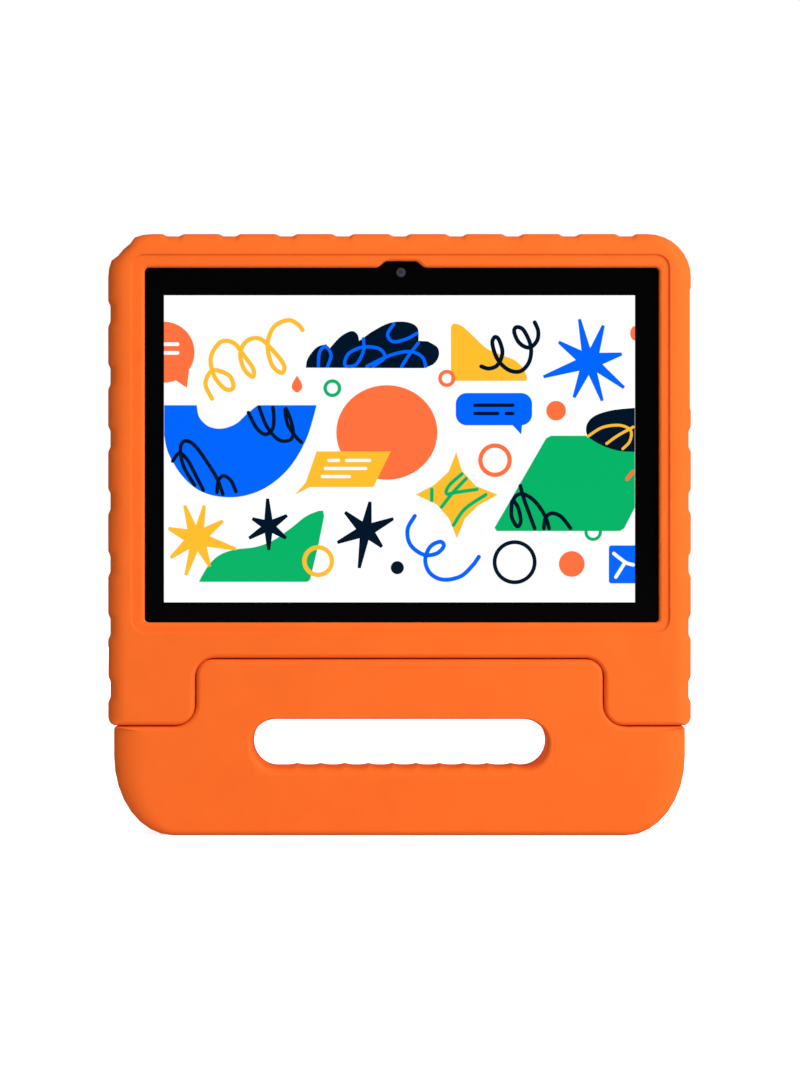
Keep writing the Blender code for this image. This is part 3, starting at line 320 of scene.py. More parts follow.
FRONT_SIDE = (9.2, 7.0)
FRONT_TOP = (8.8, 7.0)
FRONT_SEAM = (2.4, 2.6)
FRONT_HANDLE_SIDE = (14.0, 7.0)
HANDLE_BOTTOM = (3.0, 3.0)
BACK_SIDE = (8.0, 7.0)
BACK_TURN = (6.5, 6.5)
BACK_SEAM = (1.5, 1.5)
CASE_TIGHTEN = 1.5  # keeps the front rounding clear of the step's corners
FINE = 0.7
COARSE = 4.0
EDGE_STEPS = 9


def foam_rings(corners, squared, edges, tighten=1.0, shape=None):
    """Rings from the front face round the rounded edges to the back face, and the two guard rings."""
    pieces = edge_pieces(corners, [edge.spacing for edge in edges])
    square = [
        c._replace(before=SQUARE, after=SQUARE) if i in squared else c
        for i, c in enumerate(corners)
    ]

    def side_ring(outline, sizes, angle, sign, extra=0.0):
        insets = [w * (1 - math.cos(angle)) + extra for w, h in sizes]
        depths = [sign * (HALF_DEPTH - h + h * math.sin(angle)) for w, h in sizes]
        return ring(outline, insets, depths, pieces, tighten if sign < 0 else 1.0)

    fronts = [edge.front for edge in edges]
    backs = [edge.back for edge in edges]
    quarter = math.pi / 2
    rings = [side_ring(corners, fronts, quarter, -1, GUARD)]
    for angle in reversed(quarter_angles(EDGE_STEPS)):
        rings.append(side_ring(corners, fronts, angle, -1))
    rings.append(ring(corners, 0, FRONT_LAYER, pieces))
    rings.append(ring(square, 0, FRONT_LAYER + TURN_SQUARE, pieces))
    for angle in quarter_angles(EDGE_STEPS):
        rings.append(side_ring(square, backs, angle, 1))
    rings.append(side_ring(square, backs, quarter, 1, GUARD))
    if shape:
        rings = [[shape(point) for point in points] for points in rings]
    return rings


def grip(distance, half_width):
    """1 on the floor of a grip scoop, and 0 outside it."""
    return 1 - steady((abs(distance) / half_width - 0.5) / 0.5)


def scooped(point):
    """Moves a point of the case's surface into the grip scoops round its edge."""
    moved = point.copy()
    nearest = round(point.x / TOP_GRIP_PITCH)
    if abs(nearest) <= TOP_GRIPS and point.z > CASE_TOP - GRIP_REACH:
        fade = 1 - steady((CASE_TOP - point.z) / GRIP_REACH)
        moved.z -= GRIP_DEPTH * fade * grip(point.x - nearest * TOP_GRIP_PITCH, TOP_GRIP_HALF)
    side = math.copysign(1, point.x)
    nearest = round((point.z - SIDE_GRIP_FIRST) / SIDE_GRIP_PITCH)
    number = LEFT_GRIPS if side < 0 else RIGHT_GRIPS
    reach = CASE_SIDE - abs(point.x)
    if 0 <= nearest < number and reach < GRIP_REACH:
        along = point.z - SIDE_GRIP_FIRST - nearest * SIDE_GRIP_PITCH
        moved.x -= side * GRIP_DEPTH * (1 - steady(reach / GRIP_REACH)) * grip(along, SIDE_GRIP_HALF)
    inwards = Vector((1, 0, -1)).normalized()
    corner_spot = Vector((-CASE_SIDE, 0, CASE_TOP)) + inwards * CASE_CORNER * (math.sqrt(2) - 1)
    offset = point - corner_spot
    deep = offset.dot(inwards)
    along = offset.dot(Vector((1, 0, 1)).normalized())
    if deep < GRIP_REACH:
        moved += (
            inwards
            * CORNER_GRIP_DEPTH
            * (1 - steady(max(deep, 0) / GRIP_REACH))
            * grip(along, CORNER_GRIP_HALF)
        )
    return moved


def edge_round(corners, radius, depth, turn, pieces=None, steps=4, inwards=1, guard=GUARD):
    """Rings over the rounded edge of an opening, from its guard ring on the face at a depth.

    turn is +1 where the wall goes on towards +Y; inwards is +1 where the opening lies inside.
    """
    rings = [ring(corners, -inwards * (radius + guard), depth, pieces)]
    for angle in reversed(quarter_angles(steps)):
        inset = -inwards * radius * (1 - math.cos(angle))
        rings.append(ring(corners, inset, depth + turn * radius * (1 - math.sin(angle)), pieces))
    return rings


def view_corners():
    """Opening of the lip, with the notch for the front camera in its top edge."""
    top = VIEW_Z + VIEW_HALF_HEIGHT
    bottom = VIEW_Z - VIEW_HALF_HEIGHT
    return [
        corner(VIEW_X - VIEW_HALF_WIDTH, bottom, VIEW_CORNER),
        corner(VIEW_X + VIEW_HALF_WIDTH, bottom, VIEW_CORNER),
        corner(VIEW_X + VIEW_HALF_WIDTH, top, VIEW_CORNER),
        corner(LENS_X + NOTCH_FOOT, top, NOTCH_FOOT_CORNER),
        corner(LENS_X + NOTCH_HEAD, NOTCH_TOP, NOTCH_HEAD_CORNER),
        corner(LENS_X - NOTCH_HEAD, NOTCH_TOP, NOTCH_HEAD_CORNER),
        corner(LENS_X - NOTCH_FOOT, top, NOTCH_FOOT_CORNER),
        corner(VIEW_X - VIEW_HALF_WIDTH, top, VIEW_CORNER),
    ]


def case_corners():
    tongue = TONGUE_SIDE + SEAM
    ceiling = TONGUE_TOP + SEAM
    root = TONGUE_ROOT - SEAM - PINCH
    return [
        corner(CASE_SIDE, SHOULDER_BOTTOM, SHOULDER_CORNER),
        corner(CASE_SIDE, CASE_TOP, CASE_CORNER),
        corner(-CASE_SIDE, CASE_TOP, CASE_CORNER),
        corner(-CASE_SIDE, SHOULDER_BOTTOM, SHOULDER_CORNER),
        corner(-tongue, SHOULDER_BOTTOM, root),
        corner(-tongue, ceiling, TONGUE_CORNER + SEAM),
        corner(tongue, ceiling, TONGUE_CORNER + SEAM),
        corner(tongue, SHOULDER_BOTTOM, root),
    ]


def case_edges():
    side = Edge(FRONT_SIDE, BACK_SIDE, FINE)
    top = Edge(FRONT_TOP, BACK_SIDE, FINE)
    shoulder = Edge(FRONT_SEAM, BACK_TURN, COARSE)
    seam = Edge(FRONT_SEAM, BACK_SEAM, COARSE)
    return [side, top, side, shoulder, seam, seam, seam, shoulder]


def speaker_slots():
    middle_x = (SPEAKER_LOW.x + SPEAKER_HIGH.x) / 2
    middle_z = (SPEAKER_LOW.z + SPEAKER_HIGH.z) / 2
    half_width = SPEAKER_SLOT_HALF_WIDTH
    return [
        rectangle(
            side * middle_x + step * SPEAKER_SLOT_PITCH,
            middle_z,
            half_width,
            SPEAKER_SLOT_HALF_HEIGHT,
            half_width,
        )
        for side in (-1, 1)
        for step in range(-2, 3)
    ]


def rear_hole():
    x = (REAR_LOW.x + REAR_HIGH.x) / 2
    z = (REAR_LOW.z + REAR_HIGH.z) / 2
    return rectangle(x, z, REAR_HALF_HOLE, REAR_HALF_HOLE, REAR_HOLE_CORNER)


def back_recess(shell):
    """Shallow panel in the back with raised grip ribs; returns its guard ring on the back face."""
    middle = (RECESS_BOTTOM + RECESS_TOP) / 2
    half_height = (RECESS_TOP - RECESS_BOTTOM) / 2
    corners = rectangle(0, middle, RECESS_HALF_WIDTH, half_height, RECESS_CORNER)
    floor = HALF_DEPTH - PANEL_RECESS
    rings = edge_round(corners, RECESS_ROUNDINGS[0], HALF_DEPTH, -1)
    rings += reversed(edge_round(corners, RECESS_ROUNDINGS[1], floor, 1, inwards=-1))
    mouth, foot = shell.loft(rings)
    bases = []
    for step in range(-2, 3):
        rib = rectangle(0, middle + step * RIB_PITCH, RIB_HALF_WIDTH, RIB_HALF_HEIGHT, RIB_HALF_HEIGHT)
        rises = edge_round(rib, RIB_ROUNDINGS[0], floor, 1)
        rises += reversed(edge_round(rib, RIB_ROUNDINGS[1], floor + RIB_RISE, -1, inwards=-1))
        base, crown = shell.loft(rises)
        shell.fill(crown)
        bases.append(base)
    shell.fill(foot, bases)
    return mouth


def back_holes(shell):
    """Holes from the back face to the pocket; returns their rings at the back face and the floor."""
    mouths = []
    ends = []
    holes = [(rear_hole(), REAR_HOLE_ROUNDING)]
    holes += [(slot, SPEAKER_SLOT_ROUNDING) for slot in speaker_slots()]
    for corners, radius in holes:
        rings = edge_round(corners, radius, HALF_DEPTH, -1)
        rings.append(ring(corners, 0, POCKET_BACK))
        mouth, end = shell.loft(rings)
        mouths.append(mouth)
        ends.append(end)
    return mouths, ends


def front_opening(shell):
    """Step, lip, view opening and pocket; returns the front face's guard ring and the pocket's end."""
    step = rectangle(TABLET_X, TABLET_Z, STEP_HALF_WIDTH, STEP_HALF_HEIGHT, STEP_CORNER)
    rings = edge_round(step, STEP_ROUNDINGS[0], -HALF_DEPTH, 1)
    rings += reversed(edge_round(step, STEP_ROUNDINGS[1], LIP_FRONT, -1, inwards=-1))
    mouth, ledge = shell.loft(rings)
    view = view_corners()
    rings = edge_round(view, LIP_ROUNDING, LIP_FRONT, 1)
    rings.append(ring(view, 0, POCKET_FRONT))
    lip, under = shell.loft(rings)
    shell.fill(ledge, [lip])
    pocket = rectangle(
        TABLET_X, TABLET_Z, TABLET_HALF_WIDTH + GAP, TABLET_HALF_HEIGHT + GAP, TABLET_CORNER + GAP
    )
    start, end = shell.loft([ring(pocket, 0, POCKET_FRONT), ring(pocket, 0, POCKET_BACK)])
    shell.fill(start, [under])
    return mouth, end


def cutter(shell, name):
    thing = shell.piece(name, [])
    thing.hide_render = True
    return thing


def carve(thing, tool):
    """Cuts the tool out of a piece, applies the result and removes the tool."""
    step = thing.modifiers.new("carve", "BOOLEAN")
    step.operation = "DIFFERENCE"
    step.solver = "EXACT"
    step.object = tool
    depsgraph = bpy.context.evaluated_depsgraph_get()
    carved = bpy.data.meshes.new_from_object(thing.evaluated_get(depsgraph))
    thing.modifiers.clear()
    thing.data = carved
    bpy.data.objects.remove(tool)
    carved.shade_smooth()
    carved.set_sharp_from_angle(angle=math.radians(SHARP))


def turned_along_x(shell, centre, profile, sides=32):
    """Solid of revolution about an axis along X from (distance, radius) pairs."""
    rings = []
    for x, radius in profile:
        rings.append([
            Vector((
                x,
                centre[0] + radius * math.cos(2 * math.pi * n / sides),
                centre[1] + radius * math.sin(2 * math.pi * n / sides),
            ))
            for n in range(sides)
        ])
    first, last = shell.loft(rings)
    shell.mesh.faces.new(first)
    shell.mesh.faces.new(last)


def window_tool(shell):
    """Side window through the case's right wall, flared at its outer edge."""
    window = rectangle(WINDOW_Y, WINDOW_Z, WINDOW_HALF_DEPTH, WINDOW_HALF_HEIGHT, WINDOW_CORNER)
    flare = WINDOW_FLARE
    profile = [(TABLET_X + TABLET_HALF_WIDTH - PAST, 0.0)]
    for angle in quarter_angles(6):
        profile.append((CASE_SIDE - flare + flare * math.sin(angle), flare * (1 - math.cos(angle))))
    profile.append((CASE_SIDE + 2 * PAST, flare + PAST))
    rings = []
    for x, grow in profile:
        rings.append([Vector((x, p.x, p.z)) for p in ring(window, -grow, 0)])
    first, last = shell.loft(rings)
    shell.fill(first, across=(1, 2))
    shell.fill(last, across=(1, 2))


def hinge_centre():
    return ((PIN_LOW.y + PIN_HIGH.y) / 2, (PIN_LOW.z + PIN_HIGH.z) / 2)


def bush_tool(shell):
    """Seats for the two flanged bushes in the case's shoulders."""
    flange = (BUSH_HIGH.z - BUSH_LOW.z) / 2 + GAP
    barrel = flange - BUSH_FLANGE[0]
    flange_end = BUSH_LOW.x + BUSH_FLANGE[1] + GAP
    for side in (-1, 1):
        profile = [
            (side * (TONGUE_SIDE - PAST), flange),
            (side * flange_end, flange),
            (side * (flange_end + 0.01), barrel),
            (side * (BUSH_HIGH.x + GAP), barrel),
        ]
        turned_along_x(shell, hinge_centre(), profile)


def foam_case(foam):
    shell = Shell()
    rings = foam_rings(case_corners(), {5, 6}, case_edges(), CASE_TIGHTEN, scooped)
    front, back = shell.loft(rings)
    front_mouth, pocket_end = front_opening(shell)
    recess_mouth = back_recess(shell)
    hole_mouths, hole_ends = back_holes(shell)
    shell.fill(front, [front_mouth])
    shell.fill(back, [recess_mouth, *hole_mouths])
    shell.fill(pocket_end, hole_ends)
    case = shell.piece("case_foam", [foam])
    tools = Shell()
    window_tool(tools)
    bush_tool(tools)
    carve(case, cutter(tools, "case_tools"))
    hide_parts("foam_case")
    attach(case, "case")


def handle_corners():
    return [
        Corner(HANDLE_SIDE, 0.0, HANDLE_CORNER_X, HANDLE_CORNER_Z),
        corner(HANDLE_SIDE, ARM_TOP, ARM_CORNER),
        corner(TONGUE_SIDE, ARM_TOP, TONGUE_ROOT),
        corner(TONGUE_SIDE, TONGUE_TOP, TONGUE_CORNER - PINCH),
        corner(-TONGUE_SIDE, TONGUE_TOP, TONGUE_CORNER - PINCH),
        corner(-TONGUE_SIDE, ARM_TOP, TONGUE_ROOT),
        corner(-HANDLE_SIDE, ARM_TOP, ARM_CORNER),
        Corner(-HANDLE_SIDE, 0.0, HANDLE_CORNER_Z, HANDLE_CORNER_X),
    ]


def handle_edges():
    side = Edge(FRONT_HANDLE_SIDE, BACK_SIDE, COARSE)
    arm = Edge(FRONT_SEAM, BACK_SEAM, COARSE)
    tongue_top = Edge(FRONT_SEAM, BACK_TURN, COARSE)
    bottom = Edge(HANDLE_BOTTOM, HANDLE_BOTTOM, COARSE)
    return [side, arm, arm, tongue_top, arm, arm, side, bottom]


def ridged(point, weight):
    """Raises a point of the slot's lower wall on the ridges between the finger grips."""
    reach = RIDGE_PITCH * (RIDGES - 1) / 2
    along = point.x - RIDGE_CENTRE
    if point.z > (SLOT_BOTTOM + SLOT_TOP) / 2 or abs(along) > reach + RIDGE_PITCH / 2:
        return point
    phase = math.pi * (along + reach) / RIDGE_PITCH
    height = (1 - abs(math.sin(phase))) ** 1.5
    return point + Vector((0, 0, RIDGE_HEIGHT * weight * height))


def slot_rings():
    """Rings of the grip slot, from its guard ring on the front face to the one on the back face."""
    half_height = (SLOT_TOP - SLOT_BOTTOM) / 2
    corners = rectangle(
        0, (SLOT_TOP + SLOT_BOTTOM) / 2, SLOT_HALF_WIDTH, half_height - 0.05, half_height - 0.1
    )
    pieces = edge_pieces(corners, [FINE, COARSE, COARSE, COARSE])
    rings = []
    for sign in (-1, 1):
        half = []
        for angle in quarter_angles(EDGE_STEPS):
            insets = [-w * (1 - math.cos(angle)) for w, h in SLOT_FLARES]
            depths = [sign * (HALF_DEPTH - h + h * math.sin(angle)) for w, h in SLOT_FLARES]
            points = ring(corners, insets, depths, pieces)
            half.append([ridged(point, math.cos(angle)) for point in points])
        guard = [-w - GUARD for w, h in SLOT_FLARES]
        half.append(ring(corners, guard, sign * HALF_DEPTH, pieces))
        rings += half[::-1] if sign < 0 else half
    return rings


def handle_tool(shell):
    """Room inside the tongue for the stiffening core and the hinge pins."""
    low = CORE_LOW - Vector((GAP, GAP, GAP))
    high = CORE_HIGH + Vector((GAP, GAP, GAP))
    middle = (low + high) / 2
    half = (high - low) / 2
    room = rectangle(middle.x, middle.z, half.x, half.z, CORE_ROOM_CORNER)
    first, last = shell.loft([ring(room, 0, low.y), ring(room, 0, high.y)])
    shell.fill(first)
    shell.fill(last)
    bore = (PIN_HIGH.z - PIN_LOW.z) / 2 + GAP
    for side in (-1, 1):
        turned_along_x(
            shell,
            hinge_centre(),
            [(side * (high.x - PAST), bore), (side * (TONGUE_SIDE + PAST), bore)],
        )


def handle(foam):
    shell = Shell()
    front, back = shell.loft(foam_rings(handle_corners(), {2, 5}, handle_edges()))
    slot_front, slot_back = shell.loft(slot_rings())
    shell.fill(front, [slot_front])
    shell.fill(back, [slot_back])
    piece = shell.piece("handle_grip", [foam])
    tools = Shell()
    handle_tool(tools)
    carve(piece, cutter(tools, "handle_tools"))
    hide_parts("handle_foam")
    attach(piece, "handle")


# ---------------------------------------------------------------- screen

LAYER = 0.03
SHEET = 0.02
STAR_TIP_HALF = 0.7
SCREEN_X = 0.0
SCREEN_Z = (PANEL_LOW.z + PANEL_HIGH.z) / 2
UNLIT_SIDE = 3.3
UNLIT_TOP = 3.1
SCREEN_HALF_WIDTH = PANEL_HIGH.x - UNLIT_SIDE
SCREEN_HALF_HEIGHT = (PANEL_HIGH.z - PANEL_LOW.z) / 2 - UNLIT_TOP


def screen_glass(glass):
    shell = Shell()
    corners = rectangle(TABLET_X, TABLET_Z, TABLET_HALF_WIDTH, TABLET_HALF_HEIGHT, TABLET_CORNER)
    edge = 0.2
    rings = edge_round(corners, edge, GLASS_FRONT, 1, inwards=-1)
    rings += reversed(edge_round(corners, edge, GLASS_HIGH.y, -1, inwards=-1))
    front, back = shell.loft(rings)
    shell.fill(front)
    shell.fill(back)
    piece = shell.piece("screen_glass", [glass])
    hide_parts("front_glass")
    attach(piece, "case")


class Picture:
    """Flat shapes on the screen, gathered by colour and layer. Lengths run from the screen's centre."""

    def __init__(self):
        self.sheets = {}
        self.strokes = {}

    def polygon(self, colour, layer, points, holes=()):
        clipped = [[clipped_to_screen(point) for point in loop] for loop in (points, *holes)]
        self.sheets.setdefault((colour, layer), []).append(clipped)

    def disc(self, colour, layer, u, v, radius, tall=1.0):
        self.polygon(colour, layer, oval(u, v, radius, radius * tall))

    def hoop(self, colour, layer, u, v, radius, width):
        outer = oval(u, v, radius + width / 2, radius + width / 2)
        inner = oval(u, v, radius - width / 2, radius - width / 2)
        self.polygon(colour, layer, outer, [inner])

    def line(self, colour, layer, width, *points):
        """Brush stroke through points, with round ends."""
        path = [Vector(spot) for spot in flowing(points)]
        sides = []
        for i, spot in enumerate(path):
            along = path[min(i + 1, len(path) - 1)] - path[max(i - 1, 0)]
            across = Vector((-along.y, along.x)).normalized() * (width / 2)
            sides.append((clipped_to_screen(spot - across), clipped_to_screen(spot + across)))
        self.strokes.setdefault((colour, layer), []).append(sides)
        for end in (path[0], path[-1]):
            self.polygon(colour, layer, oval(end.x, end.y, width / 2, width / 2, sides=16))

    def bars(self, colour, layer, width, *rows):
        """Level lines, each from one place to another at a height."""
        for start, end, height in rows:
            self.line(colour, layer, width, (start, height), (end, height))

    def pieces(self, finishes):
        for (colour, layer), sheets in sorted(self.sheets.items()):
            shell = Shell()
            back = GLASS_FRONT - LAYER * layer
            front = back - SHEET
            for loops in sheets:
                near_loops = []
                far_loops = []
                for loop in loops:
                    spots = [(SCREEN_X + u, SCREEN_Z + v) for u, v in without_repeats(loop)]
                    near = shell.add([Vector((x, front, z)) for x, z in spots])
                    far = shell.add([Vector((x, back, z)) for x, z in spots])
                    shell.join(near, far)
                    near_loops.append(near)
                    far_loops.append(far)
                shell.fill(near_loops[0], near_loops[1:])
                shell.fill(far_loops[0], far_loops[1:])
            for sides in self.strokes.get((colour, layer), []):
                first, last = shell.loft([stroke_section(a, b, front, back) for a, b in sides])
                shell.mesh.faces.new(first)
                shell.mesh.faces.new(last)
            piece = shell.piece(f"picture_{colour}_{layer}", [finishes[colour]])
            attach(piece, "case")


def clipped_to_screen(point):
    u = min(max(point[0], -SCREEN_HALF_WIDTH), SCREEN_HALF_WIDTH)
    v = min(max(point[1], -SCREEN_HALF_HEIGHT), SCREEN_HALF_HEIGHT)
    return (u, v)


def stroke_section(left, right, front, back):
    """Four corners across a stroke."""
    return [
        Vector((SCREEN_X + u, y, SCREEN_Z + v))
        for (u, v), y in ((left, front), (right, front), (right, back), (left, back))
    ]


def without_repeats(loop):
    kept = []
    for point in loop:
        if not kept or (Vector(point) - Vector(kept[-1])).length > CLOSE:
            kept.append(point)
    if (Vector(kept[0]) - Vector(kept[-1])).length < CLOSE:
        kept.pop()
    return kept


def oval(u, v, half_u, half_v, sides=48):
    points = []
    for n in range(sides):
        angle = 2 * math.pi * n / sides
        points.append((u + half_u * math.cos(angle), v + half_v * math.sin(angle)))
    return points


def flowing(points, steps=6):
    """Smooth path through points."""
    spots = [Vector(point) for point in points]
    count = len(spots)
    path = []
    for i in range(count - 1):
        p0, p1 = spots[max(i - 1, 0)], spots[i]
        p2, p3 = spots[i + 1], spots[min(i + 2, count - 1)]
        for n in range(steps):
            t = n / steps
            spot = 0.5 * (
                2 * p1
                + (p2 - p0) * t
                + (2 * p0 - 5 * p1 + 4 * p2 - p3) * t * t
                + (3 * p1 - p0 - 3 * p2 + p3) * t * t * t
            )
            path.append((spot.x, spot.y))
    path.append(tuple(spots[-1]))
    return path


def star(u, v, valley, *tips):
    """Hand-cut star from its centre, the radius of its valleys and its tips, counter-clockwise."""
    centre = Vector((u, v))
    arms = [Vector(tip) - centre for tip in tips]
    outline = []
    for i, arm in enumerate(arms):
        following = arms[(i + 1) % len(arms)]
        across = Vector((-arm.y, arm.x)).normalized() * STAR_TIP_HALF
        dip = (arm.normalized() + following.normalized()).normalized() * valley
        for spot in (arm - across, arm + across, dip):
            outline.append(tuple(centre + spot))
    return outline


def card(u, v, half_u, half_v, radius):
    return [(p.x, p.z) for p in ring(rectangle(u, v, half_u, half_v, radius), 0, 0)]


def draw_left(picture):
    """Left half of a loose arrangement of plain shapes and scribbles in five colours."""
    line, polygon, hoop, disc = picture.line, picture.polygon, picture.hoop, picture.disc
    # round bubble at the border
    disc("orange", 2, -108.0, 44.3, 14.0)
    polygon("orange", 2, [(-103.5, 32), (-97.5, 28), (-96.5, 36)])
    picture.bars("white", 3, 1.7, (-107.5, -101.8, 48), (-107.5, -101.8, 44))
    # long looped scribble, drop and ring
    line(
        "yellow", 2, 2.0,
        (-86, 23), (-89, 30), (-85.5, 36), (-78, 33.5), (-76.3, 28), (-80, 27.5), (-85, 33.5),
        (-86.5, 42), (-82, 49), (-76, 48.5), (-71.5, 43), (-67, 36.5), (-67.5, 33), (-71.5, 37),
        (-73, 44), (-70, 49.5), (-64, 50.5), (-58, 45), (-53, 38.5), (-54, 34.8), (-58.5, 38.5),
        (-60.5, 48), (-57.5, 56), (-51, 59), (-46.5, 57), (-44.5, 54.5),
    )
    drop = flowing([(-47, 33.6), (-45, 30.2), (-44.7, 27.8), (-47, 25.8), (-49.3, 27.8), (-49, 30.2),
                    (-47, 33.6)])
    polygon("orange", 2, drop)
    hoop("green", 2, -30.8, 27.8, 3.3, 1.6)
    # dark cloud with blue loops
    bumps = [
        [(-43, 37.2), (-42, 41.5), (-38, 46.5), (-33.5, 48)],
        [(-32.5, 45.5), (-27, 51.5), (-22, 54), (-19.3, 52.5), (-18.5, 49.5)],
        [(-13, 53.5), (-5, 57.6), (3, 58.2), (8.2, 55.6), (8.7, 49.5)],
        [(13, 49.3), (17.4, 46.5), (18, 42.5), (15.5, 38.8), (11, 37)],
    ]
    polygon("navy", 2, [spot for bump in bumps for spot in flowing(bump)])
    line("blue", 3, 1.5, (-37.2, 37.8), (-36.7, 44), (-34, 47), (-31.4, 43), (-33, 37.8))
    line(
        "blue", 3, 1.5, (-16.6, 50.5), (-16.5, 45), (-20, 38.6), (-25, 38.3), (-23.5, 43.5), (-17, 46.6),
        (-9.5, 46), (-6.8, 42), (-12, 37.8),
    )
    line("blue", 3, 1.5, (-15, 37.8), (-4, 43), (5, 44.6), (10.5, 42), (12, 37.8))
    line("blue", 3, 1.5, (-2.6, 57.2), (-5.5, 52.5), (-3, 49.2), (3, 50.3), (8, 53))
    line("blue", 3, 1.5, (1, 37.8), (4, 42.5), (8.6, 48.5))
    # deep bowl with a scoop out of its rim
    scoop = flowing([(-93, 20), (-91.8, 14.5), (-87.5, 10.3), (-81.5, 9.3), (-75, 11.5), (-69.5, 16.5),
                     (-65, 20)])
    belly = flowing([(-38, 20), (-42.5, 5), (-50, -8), (-60, -17), (-71, -21.5), (-82, -22), (-92, -19),
                     (-100, -12), (-106, -2), (-107.9, 6)])
    polygon("blue", 2, [(-107.9, 20), *scoop, *belly])
    line("navy", 3, 1.7, (-69.3, 16.6), (-65.5, 9.5), (-61.5, 6.6), (-58.3, 9), (-57.6, 14), (-58, 19))
    line(
        "navy", 3, 1.7, (-64.3, 19), (-61, 10.5), (-55.5, 4.2), (-50, 4.2), (-48.8, 8.5), (-50.5, 15),
        (-52.4, 18.5), (-51.4, 11.5), (-47.5, 5.5), (-45, 3),
    )
    line("navy", 3, 1.7, (-104, -5.6), (-101, -2), (-97.3, -5), (-93.5, -12), (-90, -19))
    line(
        "navy", 3, 1.7, (-94, -16.6), (-99, -8), (-100.5, 0), (-98.5, 3.6), (-94, 1.6), (-88, -6.5),
        (-83.5, -14), (-81, -20.8),
    )
    line("navy", 3, 1.7, (-83.7, -20), (-83, -14.5), (-80.6, -12.4), (-77.3, -14.6), (-75, -19.6))
    # sun behind a slanted bubble
    disc("orange", 2, -5.8, 7.5, 23.2, 0.935)
    slant = [(-41, -17.5), (-12, -17.5), (-4, -1.2), (-38, -1.2), (-43, -15.5), (-48, -21)]
    polygon("yellow", 3, slant)
    rows = ((-32.3, -28, -5.3), (-24.3, -13.7, -5.3), (-34, -15.5, -9), (-35.4, -23, -12.7))
    picture.bars("white", 4, 1.5, *rows)
    # three stars, a hill, a ring and a dot
    polygon("yellow", 2, star(
        -93, -41, 6.0, (-75, -46), (-81, -33), (-89.5, -26), (-98.5, -26), (-106, -36.5),
        (-105, -50), (-98, -58), (-87, -54),
    ))
    hill = flowing([
        (-92, -61), (-88, -54), (-83, -49), (-76, -46.3), (-66, -45), (-58, -42), (-50, -36.5),
        (-43, -31), (-37, -28.4),
    ])
    polygon("green", 2, [*hill, (-35, -28.4), (-34.6, -31), (-37.2, -44), (-41, -60), (-42.2, -61)])
    polygon("navy", 3, star(
        -60, -35.5, 3.6, (-51.5, -30.5), (-60.5, -22.8), (-67.5, -32), (-69, -41), (-60, -46.5),
        (-52, -41),
    ))
    hoop("yellow", 3, -37.3, -51.5, 6.3, 2.0)
    polygon("navy", 2, star(
        -15.5, -37.5, 4.5, (-2.8, -32), (-13.5, -24.2), (-25, -29), (-28.5, -43), (-18.5, -54.7),
        (-8, -45),
    ))
    disc("navy", 2, -1.0, -54.5, 3.0)


